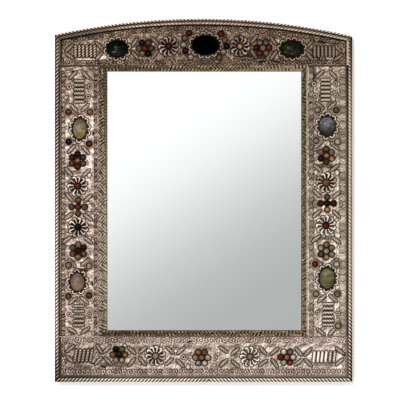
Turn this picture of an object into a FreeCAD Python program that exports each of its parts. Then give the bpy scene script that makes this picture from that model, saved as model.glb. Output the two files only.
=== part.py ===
import FreeCAD, Part
import math
import os
import re
import Sketcher

# Wall mirror with a low arched top: wooden core, chased tin sheets, rope edge, stones.
# X runs across, Z up and the front faces -Y. Y zero is the wall plane, on which the rails'
# backs rest; the origin is the middle of the bottom rail's back.
# Depths are counted forward from the wall plane.

# Driving sizes in millimetres, degrees where the words say so.
SIZES = [
    ("sight_width", 290, "glass seen, across"),
    ("sight_height", 387, "glass seen, up"),
    ("left_face", 65.4, "left border from edge to bevel"),
    ("right_face", 66.7, "right border from bevel to edge"),
    ("bottom_face", 68.3, "bottom border from edge to bevel"),
    ("top_face", 69.6, "top border from bevel to the arch's highest point"),
    ("left_slip", 13.3, "left bevel, width seen"),
    ("right_slip", 9.6, "right bevel, width seen"),
    ("top_slip", 9.6, "top bevel, width seen"),
    ("bottom_slip", 9, "bottom bevel, width seen"),
    ("arch_radius", 1000, "radius of the arched top edge"),
    ("arch_shift", 4.4, "arch's highest point, left of the middle"),
    ("hang_gap", 5, "stiles set back from the wall plane, room for the fittings"),
    ("board_thickness", 3, "hardboard back"),
    ("card_thickness", 2.5, "card behind the glass"),
    ("glass_thickness", 3, "mirror glass"),
    ("slip_depth", 7, "depth of the bevel slips at their outer line"),
    ("slip_lip", 2, "depth of the bevel slips at the glass"),
    ("glass_lap", 6, "glass hidden behind the bevel, each side"),
    ("glass_play", 1, "gap round the glass"),
    ("sheet_gauge", 0.6, "metal sheet"),
    ("flange_depth", 15, "sheet folded down the sides"),
    ("rope_diameter", 6, "rope edge"),
    ("rope_flat", 0.5, "rope soldered flat on the sheet"),
    ("rope_overhang", 1, "rope past the sheet's folded side"),
    ("rib_inset", 7.6, "beaded rib, distance inside the edge"),
    ("rib_width", 1.4, "beaded rib"),
    ("rib_rise", 0.5, "beaded rib"),
    ("seam_gap", 0.3, "butt joints between the sheets"),
    ("dowel_diameter", 8, "corner dowels"),
    ("dowel_length", 40, "corner dowels"),
    ("dowel_spacing", 34, "pair of dowels in a corner"),
    ("dowel_end", 1, "empty end of a dowel hole"),
    ("fit_gap", 0.08, "radial gap of dowels, screws and pins in their holes"),
    ("pin_shank", 1.4, "pins through the folded sides"),
    ("pin_length", 9, "pins through the folded sides"),
    ("pin_head", 3, "pins through the folded sides"),
    ("pin_cap", 0.7, "height of a pin's head"),
    ("pin_spread", 7, "arch pins, degrees beside the highest point"),
    ("bar_length", 19, "ribbed bar"),
    ("bar_width", 4.4, "ribbed bar"),
    ("bar_rise", 1.4, "ribbed bar"),
    ("stroke_length", 16.5, "slanting bar"),
    ("stroke_width", 4.4, "slanting bar"),
    ("stroke_rise", 1.3, "slanting bar"),
    ("petal_start", 7.6, "petal's foot, distance from the flower's middle"),
    ("petal_bend", 6, "bend radius of a petal"),
    ("petal_sweep", 88, "turn of a petal, degrees"),
    ("petal_width", 2.6, "petal"),
    ("petal_rise", 1.2, "petal"),
    ("curl_radius", 2.3, "curl round an oval stone"),
    ("curl_sweep", 190, "turn of a curl, degrees"),
    ("curl_width", 1.5, "curl round an oval stone"),
    ("curl_rise", 0.9, "curl round an oval stone"),
    ("curl_offset", 2.2, "curls' middles outside an oval stone"),
    ("stone_gap", 0.3, "raised work kept clear of a stone"),
    ("stone_girdle", 0.8, "straight foot of a round stone"),
    ("single_diameter", 9.6, "single round stone"),
    ("single_rise", 3, "dome of a single stone"),
    ("cluster_diameter", 8.6, "stone in a rosette or cross"),
    ("cluster_rise", 2.6, "dome of a rosette stone"),
    ("flower_diameter", 10.6, "stone in a flower's middle"),
    ("flower_rise", 3.2, "dome of a flower stone"),
    ("cluster_pitch", 9.4, "rosette, middle to middle"),
    ("cross_pitch", 9.7, "cross, middle to middle"),
    ("oval_rise", 5, "dome of an oval stone"),
    ("top_centre_oval_width", 40, "oval stone, across"),
    ("top_centre_oval_height", 28.5, "oval stone, up"),
    ("top_left_oval_width", 30, "oval stone, across"),
    ("top_left_oval_height", 24.7, "oval stone, up"),
    ("top_right_oval_width", 33, "oval stone, across"),
    ("top_right_oval_height", 24, "oval stone, up"),
    ("left_upper_oval_width", 21, "oval stone, across"),
    ("left_upper_oval_height", 31, "oval stone, up"),
    ("left_lower_oval_width", 21.7, "oval stone, across"),
    ("left_lower_oval_height", 27, "oval stone, up"),
    ("right_upper_oval_width", 23.7, "oval stone, across"),
    ("right_upper_oval_height", 29, "oval stone, up"),
    ("right_lower_oval_width", 23, "oval stone, across"),
    ("right_lower_oval_height", 31.5, "oval stone, up"),
    ("button_length", 32, "turn button"),
    ("button_width", 12, "turn button"),
    ("button_thickness", 1.5, "turn button"),
    ("button_inset", 12, "turn button's screw from the rebate"),
    ("button_rise", 80, "turn buttons' screws from the rails"),
    ("lay_gap", 0.3, "gap under a piece that turns"),
    ("head_gap", 0.1, "gap under the head of a turn button's screw"),
    ("screw_shank", 3, "screws"),
    ("screw_grip", 12, "screw in the wood"),
    ("screw_head", 6.5, "screws"),
    ("screw_cap", 2, "height of a screw's head"),
    ("slot_width", 0.9, "screwdriver slot"),
    ("slot_depth", 0.9, "screwdriver slot"),
    ("strap_width", 10, "strap hanger"),
    ("strap_length", 30, "strap hanger below the ring's axis"),
    ("strap_thickness", 0.8, "strap hanger"),
    ("strap_corner", 3, "rounding of the strap's free end"),
    ("strap_screw", 22, "strap's screw below the ring's axis"),
    ("ring_wire", 2, "hanging ring's wire"),
    ("ring_inside", 17.5, "hanging ring, inside width"),
    ("ring_corner", 3, "hanging ring's bend"),
    ("ring_leg", 6, "hanging ring's straight leg"),
    ("ring_drop", 42, "ring's axis below the top rail"),
    ("cutter_overrun", 10, "cutting shapes past the material"),
]

# Lines and depths made from the sizes; capitals are earlier lines.
LINES = [
    ("FRAME_WIDTH", "left_face + left_slip + sight_width + right_slip + right_face"),
    ("LEFT_EDGE", "-FRAME_WIDTH / 2"),
    ("RIGHT_EDGE", "FRAME_WIDTH / 2"),
    ("SLIP_LEFT", "LEFT_EDGE + left_face"),
    ("SIGHT_LEFT", "SLIP_LEFT + left_slip"),
    ("SIGHT_RIGHT", "SIGHT_LEFT + sight_width"),
    ("SLIP_RIGHT", "SIGHT_RIGHT + right_slip"),
    ("BOTTOM_EDGE", "-(bottom_face + bottom_slip) / 2"),
    ("SEAM_BOTTOM", "BOTTOM_EDGE + bottom_face"),
    ("SIGHT_BOTTOM", "SEAM_BOTTOM + bottom_slip"),
    ("SIGHT_TOP", "SIGHT_BOTTOM + sight_height"),
    ("SEAM_TOP", "SIGHT_TOP + top_slip"),
    ("APEX", "SEAM_TOP + top_face"),
    ("ARCH_CENTRE", "APEX - arch_radius"),
    ("CARD_BACK", "hang_gap + board_thickness"),
    ("GLASS_BACK", "CARD_BACK + card_thickness"),
    ("SLIP_BACK", "GLASS_BACK + glass_thickness"),
    ("SLIP_NOSE", "SLIP_BACK + slip_lip"),
    ("CORE_FRONT", "SLIP_BACK + slip_depth"),
    ("SHEET_FRONT", "CORE_FRONT + sheet_gauge"),
    ("FLANGE_BACK", "SHEET_FRONT - flange_depth"),
    ("PIN_DEPTH", "(FLANGE_BACK + CORE_FRONT) / 2"),
    ("ROPE_AXIS", "SHEET_FRONT + rope_diameter / 2 - rope_flat"),
    ("CORE_INSET", "rope_overhang + sheet_gauge"),
    ("CORE_LEFT", "LEFT_EDGE + CORE_INSET"),
    ("CORE_RIGHT", "RIGHT_EDGE - CORE_INSET"),
    ("CORE_BOTTOM", "BOTTOM_EDGE + CORE_INSET"),
    ("REBATE", "glass_lap + glass_play"),
    ("REBATE_LEFT", "SIGHT_LEFT - REBATE"),
    ("REBATE_RIGHT", "SIGHT_RIGHT + REBATE"),
    ("REBATE_BOTTOM", "SIGHT_BOTTOM - REBATE"),
    ("REBATE_TOP", "SIGHT_TOP + REBATE"),
    ("DOWEL_DEPTH", "(hang_gap + CORE_FRONT) / 2"),
    ("DOWEL_HOLE", "dowel_length / 2 + dowel_end"),
    ("EYE_RISE", "strap_thickness + lay_gap + ring_wire / 2"),
]

# Columns and rows of the picture that lie on the lines above, in its own units.
PICTURE_COLUMNS = [
    (55.2, "LEFT_EDGE"),
    (98.7, "SLIP_LEFT"),
    (107.6, "SIGHT_LEFT"),
    (300.9, "SIGHT_RIGHT"),
    (307.3, "SLIP_RIGHT"),
    (351.8, "RIGHT_EDGE"),
]
PICTURE_ROWS = [
    (19.1, "APEX"),
    (65.5, "SEAM_TOP"),
    (71.9, "SIGHT_TOP"),
    (329.8, "SIGHT_BOTTOM"),
    (335.8, "SEAM_BOTTOM"),
    (381.4, "BOTTOM_EDGE"),
]

# Oval stones: picture column and row of the middle.
OVALS = [
    ("top_centre_oval", 205.4, 45.7),
    ("top_left_oval", 117.5, 49.3),
    ("top_right_oval", 291.5, 49.5),
    ("left_upper_oval", 80.2, 129),
    ("left_lower_oval", 77.8, 281.8),
    ("right_upper_oval", 326.5, 126.3),
    ("right_lower_oval", 326.7, 278),
]

# Rosettes: column, row, turn of the first outer stone, then the middle and six outer stones.
ROSETTES = [
    (145.3, 48.8, 0, "ruby olive olive garnet smoky olive jet"),
    (262.6, 48.4, 0, "pearl garnet smoky smoky garnet ruby olive"),
    (119.2, 354, 0, "jet amber olive jet amber pearl olive"),
    (201.4, 357, 0, "amber pearl smoky amber pearl smoky smoky"),
    (286.5, 356.6, 0, "amber smoky smoky pearl ruby pearl ruby"),
    (78, 160.6, 30, "amber jet garnet jet amber garnet smoky"),
    (78.5, 250.5, 30, "garnet garnet pearl smoky amber olive amber"),
    (325.8, 155.5, 30, "amber smoky olive pearl jet olive amber"),
    (325.8, 250.8, 30, "smoky pearl amber pearl jet olive smoky"),
]

# Crosses: column, row, then the middle, right, upper, left and lower stones.
CROSSES = [
    (78.5, 206.9, "ruby olive olive smoky amber"),
    (326.7, 203.4, "garnet garnet olive garnet amber"),
]

# Pinwheel flowers: column, row and stone.
FLOWERS = [
    (168.6, 46.9, "garnet"),
    (239.7, 46.9, "amber"),
    (78, 186, "ruby"),
    (78.5, 227.1, "jet"),
    (325.8, 182.6, "amber"),
    (325.4, 225.3, "garnet"),
    (155.6, 355.3, "pearl"),
    (249.7, 356.2, "olive"),
]

# Single round stones: column, row and stone.
SINGLES = [
    (68.9, 112.4, "amber"),
    (90.3, 112.4, "amber"),
    (69.1, 141.9, "jet"),
    (89.5, 144, "garnet"),
    (69, 265, "olive"),
    (89.4, 265.5, "olive"),
    (68.8, 295.9, "olive"),
    (89.3, 295.1, "olive"),
    (317.3, 110.3, "smoky"),
    (335.7, 110.3, "olive"),
    (315.6, 140.7, "smoky"),
    (336.9, 142, "smoky"),
    (314.7, 263.8, "ruby"),
    (336.1, 263.8, "pearl"),
    (315.6, 293.4, "olive"),
    (336.9, 293.4, "smoky"),
    (337.8, 325.4, "olive"),
]

# Smaller stones beside the top centre oval.
SIDE_STONES = [
    (189.4, 33.9, "garnet"),
    (184.7, 38.9, "olive"),
    (183.6, 45.4, "pearl"),
    (185.4, 51.6, "garnet"),
    (190.7, 57.5, "pearl"),
    (221, 34.4, "garnet"),
    (224.8, 40.7, "amber"),
    (226.6, 46.8, "jet"),
    (223.2, 52.4, "pearl"),
    (219.3, 57.9, "olive"),
]

# Ribbed bars: column, row and turn.
BARS = (
    [(79.5, row, 0) for row in (81.4, 85.7, 90.1, 94.8, 98.9, 103)]
    + [(79.1, row, 0) for row in (305.7, 310.8, 316, 320.4, 324.7)]
    + [(325.5, row, 0) for row in (80.4, 84.5, 88.5, 92.5, 96.5, 100.5)]
    + [(327.4, row, 0) for row in (303.5, 308, 312.3, 316.3, 320.3, 324.3)]
    + [(column, 51.6, 90) for column in (75.9, 79.7, 83.5, 87.3, 91.2, 95)]
    + [(column, 51.7, 90) for column in (313.8, 317.6, 321.4, 325.2, 328.9, 332.5)]
    + [(column, 354, 80) for column in (77, 80.7, 84.5, 88.3, 92)]
    + [(column, 356.6, 90) for column in (313.5, 317.5, 321.6, 325.6, 329.7, 333.7)]
)

# Slanting bars: column, row and turn.
STROKES = [
    (73.5, 75.5, 45),
    (86, 75.5, -50),
    (74.2, 108.3, -46),
    (85.6, 108, 44),
    (71.9, 149.2, 45),
    (86.2, 150.2, -48),
    (69.2, 172, -48),
    (86.6, 173, 44),
    (69.8, 197.4, -50),
    (88.2, 198.2, 44),
    (69.2, 216, 38),
    (88.4, 217.4, -38),
    (67.4, 239.5, 36),
    (88.6, 240.2, -38),
    (72.6, 262.6, -50),
    (85.6, 262.2, 38),
    (73.2, 300.4, 42),
    (84.8, 299.8, -40),
    (72.5, 330, -31),
    (85.8, 330, 38),
    (319.3, 74.8, 45),
    (332.6, 75, -47),
    (319.4, 106, -42),
    (331.4, 106.2, 42),
    (318.2, 144.6, 40),
    (334.2, 146, -42),
    (317.4, 168.2, -42),
    (334.2, 168, 40),
    (316.6, 193.6, -45),
    (336, 194.6, 42),
    (336, 214.2, -46),
    (316.4, 213.6, 44),
    (315.6, 238.6, 36),
    (335.6, 239.8, -38),
    (318.3, 262.4, -40),
    (333.4, 261.6, 40),
    (321.3, 298.2, 42),
    (332.6, 298, -41),
    (320.4, 331.3, -40),
    (331.8, 331, 48),
    (69.8, 48.6, 42),
    (70, 56.3, -36),
    (99.6, 46.4, -45),
    (99.4, 56.6, 50),
    (134.6, 43.4, 54),
    (135.4, 55.9, -48),
    (154.8, 41.4, -47),
    (155, 55, 52),
    (254.2, 39.4, 48),
    (253.4, 54.4, -56),
    (273, 41.4, -54),
    (273.4, 55.6, 54),
    (308.8, 45, 44),
    (309, 56.4, -50),
    (337.2, 48.8, -44),
    (337.8, 58, 34),
    (70.6, 348.2, 38),
    (70.6, 359, -40),
    (99.8, 348.6, -57),
    (107.6, 348.4, 46),
    (98.6, 360.4, 48),
    (108.4, 360.6, -45),
    (131.8, 349.8, -43),
    (143, 349.4, 43),
    (131.8, 361.8, 52),
    (142.4, 360.6, -50),
    (170.4, 349.8, -43),
    (180.8, 350.2, 41),
    (169, 361.4, 41),
    (180.2, 362.6, -46),
    (223.4, 349.2, -35),
    (234.9, 351, 39),
    (223.6, 362.2, 44),
    (235.4, 363.4, -42),
    (262.6, 350, -50),
    (274.4, 350.6, 41),
    (262.8, 362.4, 36),
    (274.4, 362.6, -53),
    (298.4, 351.2, -50),
    (307.6, 351.4, 50),
    (298.2, 361.8, 36),
    (307.8, 362, -47),
    (339.2, 350.2, -38),
    (339, 361.4, 42),
]

PETALS = 11
CURLS = 10
FAMILIES = ("garnet", "ruby", "amber", "olive", "jet", "smoky", "pearl")
SIDE_PIN_SHARES = (0.12, 0.5, 0.88)
BOTTOM_PIN_SHARES = (0.15, 0.5, 0.85)

doc = FreeCAD.newDocument("wall_mirror")
sheet = doc.addObject("Spreadsheet::Sheet", "Sizes")
for row, (name, value, words) in enumerate(SIZES, 1):
    sheet.set("A%d" % row, words)
    sheet.set("B%d" % row, str(value))
    sheet.setAlias("B%d" % row, name)
doc.recompute()

KNOWN = {}


def expand(text):
    """Turns size and line names into one expression over the sheet's cells."""
    def swap(match):
        word = match.group()
        return KNOWN[word] if word in KNOWN else "Sizes." + word
    return re.sub(r"[A-Z][A-Z_]+|[a-z]+(?:_[a-z]+)+", swap, text)


for name, text in LINES:
    KNOWN[name] = "(" + expand(text) + ")"

VALUES = {}


def size(text):
    """Value of an expression over the sizes."""
    if text not in VALUES:
        VALUES[text] = float(sheet.evalExpression(expand(text)))
    return VALUES[text]


def along(lines, place):
    """Expression for a picture column or row, between the two lines round it."""
    for (first, start), (second, end) in zip(lines, lines[1:]):
        if place <= second:
            break
    share = (place - first) / (second - first)
    return "(%s + (%s - %s) * %.6f)" % (start, end, start, share)


def arch_height(x, inset):
    """Expression for the height of the arch, moved inward, at a distance across."""
    return "(ARCH_CENTRE + sqrt((arch_radius - (%s)) ^ 2 - (%s + arch_shift) ^ 2))" % (inset, x)


def vector(x, y, z):
    return FreeCAD.Vector(x, y, z)


UPRIGHT = FreeCAD.Rotation(vector(1, 0, 0), 90)


def turned(angle):
    """Lays a flat shape on the front, turned in the picture's plane."""
    return UPRIGHT.multiply(FreeCAD.Rotation(vector(0, 0, 1), angle))


def on_front(column, row, depth="SHEET_FRONT"):
    """Point of the front that the picture shows at a column and row."""
    x = size(along(PICTURE_COLUMNS, column))
    z = size(along(PICTURE_ROWS, row))
    return vector(x, -size(depth), z)


# Bodies, sketches and features

def new_body(name):
    body = doc.addObject("PartDesign::Body", name)
    body.Label = name
    return body


def new_sketch(body, name, role, offset=None):
    """Sketch on one of the body's own planes, moved along its normal."""
    sketch = body.newObject("Sketcher::SketchObject", name)
    for feature in body.Origin.OriginFeatures:
        if feature.Role == role:
            sketch.AttachmentSupport = [(feature, "")]
    sketch.MapMode = "FlatFace"
    if offset:
        sketch.setExpression("AttachmentOffset.Base.z", expand(offset))
    return sketch


def bind(sketch, kind, edge, point, text):
    """Binds one coordinate of a point to an expression."""
    if text == "0":
        axis = -2 if kind == "DistanceX" else -1
        sketch.addConstraint(Sketcher.Constraint("PointOnObject", edge, point, axis))
        return
    rule = Sketcher.Constraint(kind, -1, 1, edge, point, size(text))
    index = sketch.addConstraint(rule)
    sketch.setExpression("Constraints[%d]" % index, expand(text))


def end_at(sketch, edge, point):
    """Which end of an edge lies at a point."""
    first = sketch.getPoint(edge, 1).distanceToPoint(point)
    second = sketch.getPoint(edge, 2).distanceToPoint(point)
    return 1 if first < second else 2


def arc_through(start, end, arc):
    """Arc between two points about a centre, on the side the bulge points to."""
    centre = vector(size(arc[0]), size(arc[1]), 0)
    side = vector(arc[3][0], arc[3][1], 0).normalize()
    middle = centre + side * centre.distanceToPoint(start)
    return Part.Arc(start, middle, end)


def outline(sketch, corners, arcs=None):
    """Closed outline; arcs maps an edge to its centre, bound axis and bulge."""
    arcs = arcs or {}
    points = [vector(size(x), size(y), 0) for x, y in corners]
    edges = []
    for place, point in enumerate(points):
        following = points[(place + 1) % len(points)]
        if place in arcs:
            edge = arc_through(point, following, arcs[place])
        else:
            edge = Part.LineSegment(point, following)
        edges.append(sketch.addGeometry(edge, False))
    for place, edge in enumerate(edges):
        point = points[place]
        before = edges[place - 1]
        ends = (end_at(sketch, before, point), end_at(sketch, edge, point))
        sketch.addConstraint(Sketcher.Constraint("Coincident", before, ends[0], edge, ends[1]))
        bind(sketch, "DistanceX", edge, ends[1], corners[place][0])
        bind(sketch, "DistanceY", edge, ends[1], corners[place][1])
    for place, (x, y, axis, bulge) in arcs.items():
        if axis == "x":
            bind(sketch, "DistanceX", edges[place], 3, x)
        else:
            bind(sketch, "DistanceY", edges[place], 3, y)


def circle(sketch, x, y, radius):
    """Circle bound to the origin."""
    middle = vector(size(x), size(y), 0)
    ring = Part.Circle(middle, vector(0, 0, 1), size(radius))
    edge = sketch.addGeometry(ring, False)
    bind(sketch, "DistanceX", edge, 3, x)
    bind(sketch, "DistanceY", edge, 3, y)
    index = sketch.addConstraint(Sketcher.Constraint("Radius", edge, size(radius)))
    sketch.setExpression("Constraints[%d]" % index, expand(radius))


def box_outline(sketch, left, low, right, high):
    outline(sketch, [(left, low), (right, low), (right, high), (left, high)])


def pad(body, sketch, length, reverse=False):
    feature = body.newObject("PartDesign::Pad", sketch.Name + "_pad")
    feature.Profile = sketch
    feature.setExpression("Length", expand(length))
    feature.Reversed = reverse
    doc.recompute()
    return feature


def pocket(body, sketch, length, reverse=False):
    """Cuts into the body and makes sure that material went."""
    before = body.Shape.Volume
    feature = body.newObject("PartDesign::Pocket", sketch.Name + "_pocket")
    feature.Profile = sketch
    feature.setExpression("Length", expand(length))
    feature.Reversed = reverse
    doc.recompute()
    if not body.Shape.Volume < before:
        raise ValueError("no material removed by " + feature.Name)
    return feature


def add_shape(name, shape):
    """Plain feature for a group of like solids or for chased sheet."""
    feature = doc.addObject("Part::Feature", name)
    feature.Label = name
    feature.Shape = shape
    return feature


NODES = []


def keep(node):
    NODES.append(node)
    return node


# Wooden core

def place_pin_holes(body, name, side, heights):
    """Holes for pins in a left or right side."""
    line = "CORE_LEFT" if side == "left" else "CORE_RIGHT"
    sketch = new_sketch(body, name, "YZ_Plane", line)
    for height in heights:
        circle(sketch, "-PIN_DEPTH", height, "pin_shank / 2 + fit_gap")
    pocket(body, sketch, "pin_length", side == "left")


def between(start, end, share):
    """Expression for a place at a share of the way between two lines."""
    return "(%s + (%s - %s) * %s)" % (start, end, start, share)


SIDE_PINS = [between("SEAM_BOTTOM", "SEAM_TOP", share) for share in SIDE_PIN_SHARES]
BOTTOM_PINS = [between("CORE_LEFT", "CORE_RIGHT", share) for share in BOTTOM_PIN_SHARES]
SHOULDER = "((%s + %s) / 2)" % (arch_height("LEFT_EDGE", "0"), arch_height("RIGHT_EDGE", "0"))
TOP_PIN = "((SEAM_TOP + %s) / 2)" % SHOULDER
LOW_PIN = "((BOTTOM_EDGE + SEAM_BOTTOM) / 2)"
DOWELS = {
    "left": [
        "((CORE_LEFT + SLIP_LEFT - dowel_spacing) / 2)",
        "((CORE_LEFT + SLIP_LEFT + dowel_spacing) / 2)",
    ],
    "right": [
        "((SLIP_RIGHT + CORE_RIGHT - dowel_spacing) / 2)",
        "((SLIP_RIGHT + CORE_RIGHT + dowel_spacing) / 2)",
    ],
}
HANGERS = {
    "left": "((CORE_LEFT + SLIP_LEFT) / 2)",
    "right": "((SLIP_RIGHT + CORE_RIGHT) / 2)",
}
RING_AXIS = "(REBATE_TOP - ring_drop)"
BUTTON_ROWS = {
    "upper": "(REBATE_TOP - ring_drop - button_rise)",
    "lower": "(REBATE_BOTTOM + button_rise)",
}
BUTTON_COLUMNS = {
    "left": "(REBATE_LEFT - button_inset)",
    "right": "(REBATE_RIGHT + button_inset)",
}

rail = keep(new_body("bottom_rail"))
sketch = new_sketch(rail, "bottom_rail_plan", "XZ_Plane")
box_outline(sketch, "CORE_LEFT", "CORE_BOTTOM", "CORE_RIGHT", "REBATE_BOTTOM")
pad(rail, sketch, "CORE_FRONT")
sketch = new_sketch(rail, "bottom_rail_recess", "XZ_Plane", "CORE_FRONT")
box_outline(sketch, "SLIP_LEFT", "SEAM_BOTTOM", "SLIP_RIGHT", "REBATE_BOTTOM + cutter_overrun")
pocket(rail, sketch, "slip_depth")
sketch = new_sketch(rail, "bottom_rail_dowels", "XY_Plane", "REBATE_BOTTOM")
for column in DOWELS["left"] + DOWELS["right"]:
    circle(sketch, column, "-DOWEL_DEPTH", "dowel_diameter / 2 + fit_gap")
pocket(rail, sketch, "DOWEL_HOLE")
place_pin_holes(rail, "bottom_rail_left_pin", "left", [LOW_PIN])
place_pin_holes(rail, "bottom_rail_right_pin", "right", [LOW_PIN])
sketch = new_sketch(rail, "bottom_rail_pins", "XY_Plane", "CORE_BOTTOM")
for column in BOTTOM_PINS:
    circle(sketch, column, "-PIN_DEPTH", "pin_shank / 2 + fit_gap")
pocket(rail, sketch, "pin_length", True)

rail = keep(new_body("top_rail"))
sketch = new_sketch(rail, "top_rail_plan", "XZ_Plane")
outline(
    sketch,
    [
        ("CORE_LEFT", "REBATE_TOP"),
        ("CORE_RIGHT", "REBATE_TOP"),
        ("CORE_RIGHT", arch_height("CORE_RIGHT", "CORE_INSET")),
        ("CORE_LEFT", arch_height("CORE_LEFT", "CORE_INSET")),
    ],
    {2: ("-arch_shift", "ARCH_CENTRE", "y", (0, 1))},
)
pad(rail, sketch, "CORE_FRONT")
sketch = new_sketch(rail, "top_rail_recess", "XZ_Plane", "CORE_FRONT")
box_outline(sketch, "SLIP_LEFT", "REBATE_TOP - cutter_overrun", "SLIP_RIGHT", "SEAM_TOP")
pocket(rail, sketch, "slip_depth")
sketch = new_sketch(rail, "top_rail_dowels", "XY_Plane", "REBATE_TOP")
for column in DOWELS["left"] + DOWELS["right"]:
    circle(sketch, column, "-DOWEL_DEPTH", "dowel_diameter / 2 + fit_gap")
pocket(rail, sketch, "DOWEL_HOLE", True)
place_pin_holes(rail, "top_rail_left_pin", "left", [TOP_PIN])
place_pin_holes(rail, "top_rail_right_pin", "right", [TOP_PIN])
for name, share in (("left", -1), ("middle", 0), ("right", 1)):
    turn = "(pin_spread * %d)" % share
    sketch = new_sketch(rail, "top_rail_pin_" + name, "XY_Plane")
    sketch.AttachmentOffset = FreeCAD.Placement(vector(0, 0, 0), FreeCAD.Rotation(vector(0, 1, 0), 1))
    reach = "(arch_radius - CORE_INSET)"
    across = "-arch_shift + %s * sin(%s * 1deg)" % (reach, turn)
    up = "ARCH_CENTRE + %s * cos(%s * 1deg)" % (reach, turn)
    sketch.setExpression("AttachmentOffset.Base.x", expand(across))
    sketch.setExpression("AttachmentOffset.Base.z", expand(up))
    sketch.setExpression("AttachmentOffset.Rotation.Angle", expand(turn))
    circle(sketch, "0", "-PIN_DEPTH", "pin_shank / 2 + fit_gap")
    pocket(rail, sketch, "pin_length")

for side in ("left", "right"):
    stile = keep(new_body(side + "_stile"))
    outer = "CORE_" + side.upper()
    slip = "SLIP_" + side.upper()
    rebate = "REBATE_" + side.upper()
    sketch = new_sketch(stile, side + "_stile_section", "XY_Plane", "REBATE_BOTTOM")
    outline(
        sketch,
        [
            (outer, "-hang_gap"),
            (rebate, "-hang_gap"),
            (rebate, "-SLIP_BACK"),
            (slip, "-SLIP_BACK"),
            (slip, "-CORE_FRONT"),
            (outer, "-CORE_FRONT"),
        ],
    )
    pad(stile, sketch, "REBATE_TOP - REBATE_BOTTOM")
    for name, height, reverse in (("low", "REBATE_BOTTOM", True), ("high", "REBATE_TOP", False)):
        sketch = new_sketch(stile, "%s_stile_%s_dowels" % (side, name), "XY_Plane", height)
        for column in DOWELS[side]:
            circle(sketch, column, "-DOWEL_DEPTH", "dowel_diameter / 2 + fit_gap")
        pocket(stile, sketch, "DOWEL_HOLE", reverse)
    place_pin_holes(stile, side + "_stile_pins", side, SIDE_PINS)
    sketch = new_sketch(stile, side + "_stile_screws", "XZ_Plane", "hang_gap")
    circle(sketch, HANGERS[side], RING_AXIS + " - strap_screw", "screw_shank / 2 + fit_gap")
    for height in BUTTON_ROWS.values():
        circle(sketch, BUTTON_COLUMNS[side], height, "screw_shank / 2 + fit_gap")
    pocket(stile, sketch, "screw_grip + dowel_end", True)

dowels = []
for column in DOWELS["left"] + DOWELS["right"]:
    for height in ("REBATE_BOTTOM", "REBATE_TOP"):
        foot = vector(size(column), -size("DOWEL_DEPTH"), size(height + " - dowel_length / 2"))
        dowels.append(Part.makeCylinder(size("dowel_diameter / 2"), size("dowel_length"), foot))
keep(add_shape("corner_dowels", Part.makeCompound(dowels)))


# Slips, bevel strips and ropes: bars cut to mitres

def corner_cut(outer, inner, side):
    """Corners of a cutter past a mitre line, spread up, down, left or right."""
    start = tuple("(2 * %s - %s)" % (outer[axis], inner[axis]) for axis in (0, 1))
    end = tuple("(2 * %s - %s)" % (inner[axis], outer[axis]) for axis in (0, 1))
    if side in ("up", "down"):
        level = "(%s %s cutter_overrun)" % (start[1], "+" if side == "up" else "-")
        return [start, end, (end[0], level), (start[0], level)]
    level = "(%s %s cutter_overrun)" % (start[0], "+" if side == "right" else "-")
    return [start, end, (level, end[1]), (level, start[1])]


def mitre(body, cuts):
    """Cuts both ends of a bar."""
    sketch = new_sketch(body, body.Name + "_mitres", "XZ_Plane")
    for corners in cuts:
        outline(sketch, corners)
    pocket(body, sketch, "ROPE_AXIS + rope_diameter", True)


def ring_corners(prefix):
    """Corners of the bevel ring, outer or at the glass."""
    if prefix == "outer":
        left, right, low, high = "SLIP_LEFT", "SLIP_RIGHT", "SEAM_BOTTOM", "SEAM_TOP"
    else:
        left, right, low, high = "SIGHT_LEFT", "SIGHT_RIGHT", "SIGHT_BOTTOM", "SIGHT_TOP"
    return {
        "bottom_left": (left, low),
        "bottom_right": (right, low),
        "top_right": (right, high),
        "top_left": (left, high),
    }


OUTER = ring_corners("outer")
INNER = ring_corners("inner")
SIDES = {
    "bottom": ("bottom_left", "left", "bottom_right", "right", "SEAM_BOTTOM", "SIGHT_BOTTOM"),
    "top": ("top_left", "left", "top_right", "right", "SEAM_TOP", "SIGHT_TOP"),
    "left": ("bottom_left", "down", "top_left", "up", "SLIP_LEFT", "SIGHT_LEFT"),
    "right": ("bottom_right", "down", "top_right", "up", "SLIP_RIGHT", "SIGHT_RIGHT"),
}


def bevel_bar(name, side, section):
    """Bar of one side of the bevel ring; section gives depths at its outer and inner line."""
    first, first_way, second, second_way, outer, inner = SIDES[side]
    body = keep(new_body(name))
    across = side in ("top", "bottom")
    start, end = ("SLIP_LEFT", "SLIP_RIGHT") if across else ("SEAM_BOTTOM", "SEAM_TOP")
    sketch = new_sketch(body, name + "_section", "YZ_Plane" if across else "XY_Plane", start)
    corners = []
    for line, depth in section:
        where = outer if line == "outer" else inner
        corners.append(("-" + depth, where) if across else (where, "-" + depth))
    outline(sketch, corners)
    pad(body, sketch, "%s - %s" % (end, start))
    cuts = [
        corner_cut(OUTER[first], INNER[first], first_way),
        corner_cut(OUTER[second], INNER[second], second_way),
    ]
    mitre(body, cuts)


SLIP_SECTION = [
    ("outer", "SLIP_BACK"),
    ("outer", "CORE_FRONT"),
    ("inner", "SLIP_NOSE"),
    ("inner", "SLIP_BACK"),
]
STRIP_SECTION = [
    ("outer", "CORE_FRONT"),
    ("outer", "SHEET_FRONT"),
    ("inner", "(SLIP_NOSE + sheet_gauge)"),
    ("inner", "SLIP_NOSE"),
]
for side in SIDES:
    bevel_bar("slip_" + side, side, SLIP_SECTION)
for side in SIDES:
    bevel_bar("bevel_" + side, side, STRIP_SECTION)

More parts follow.
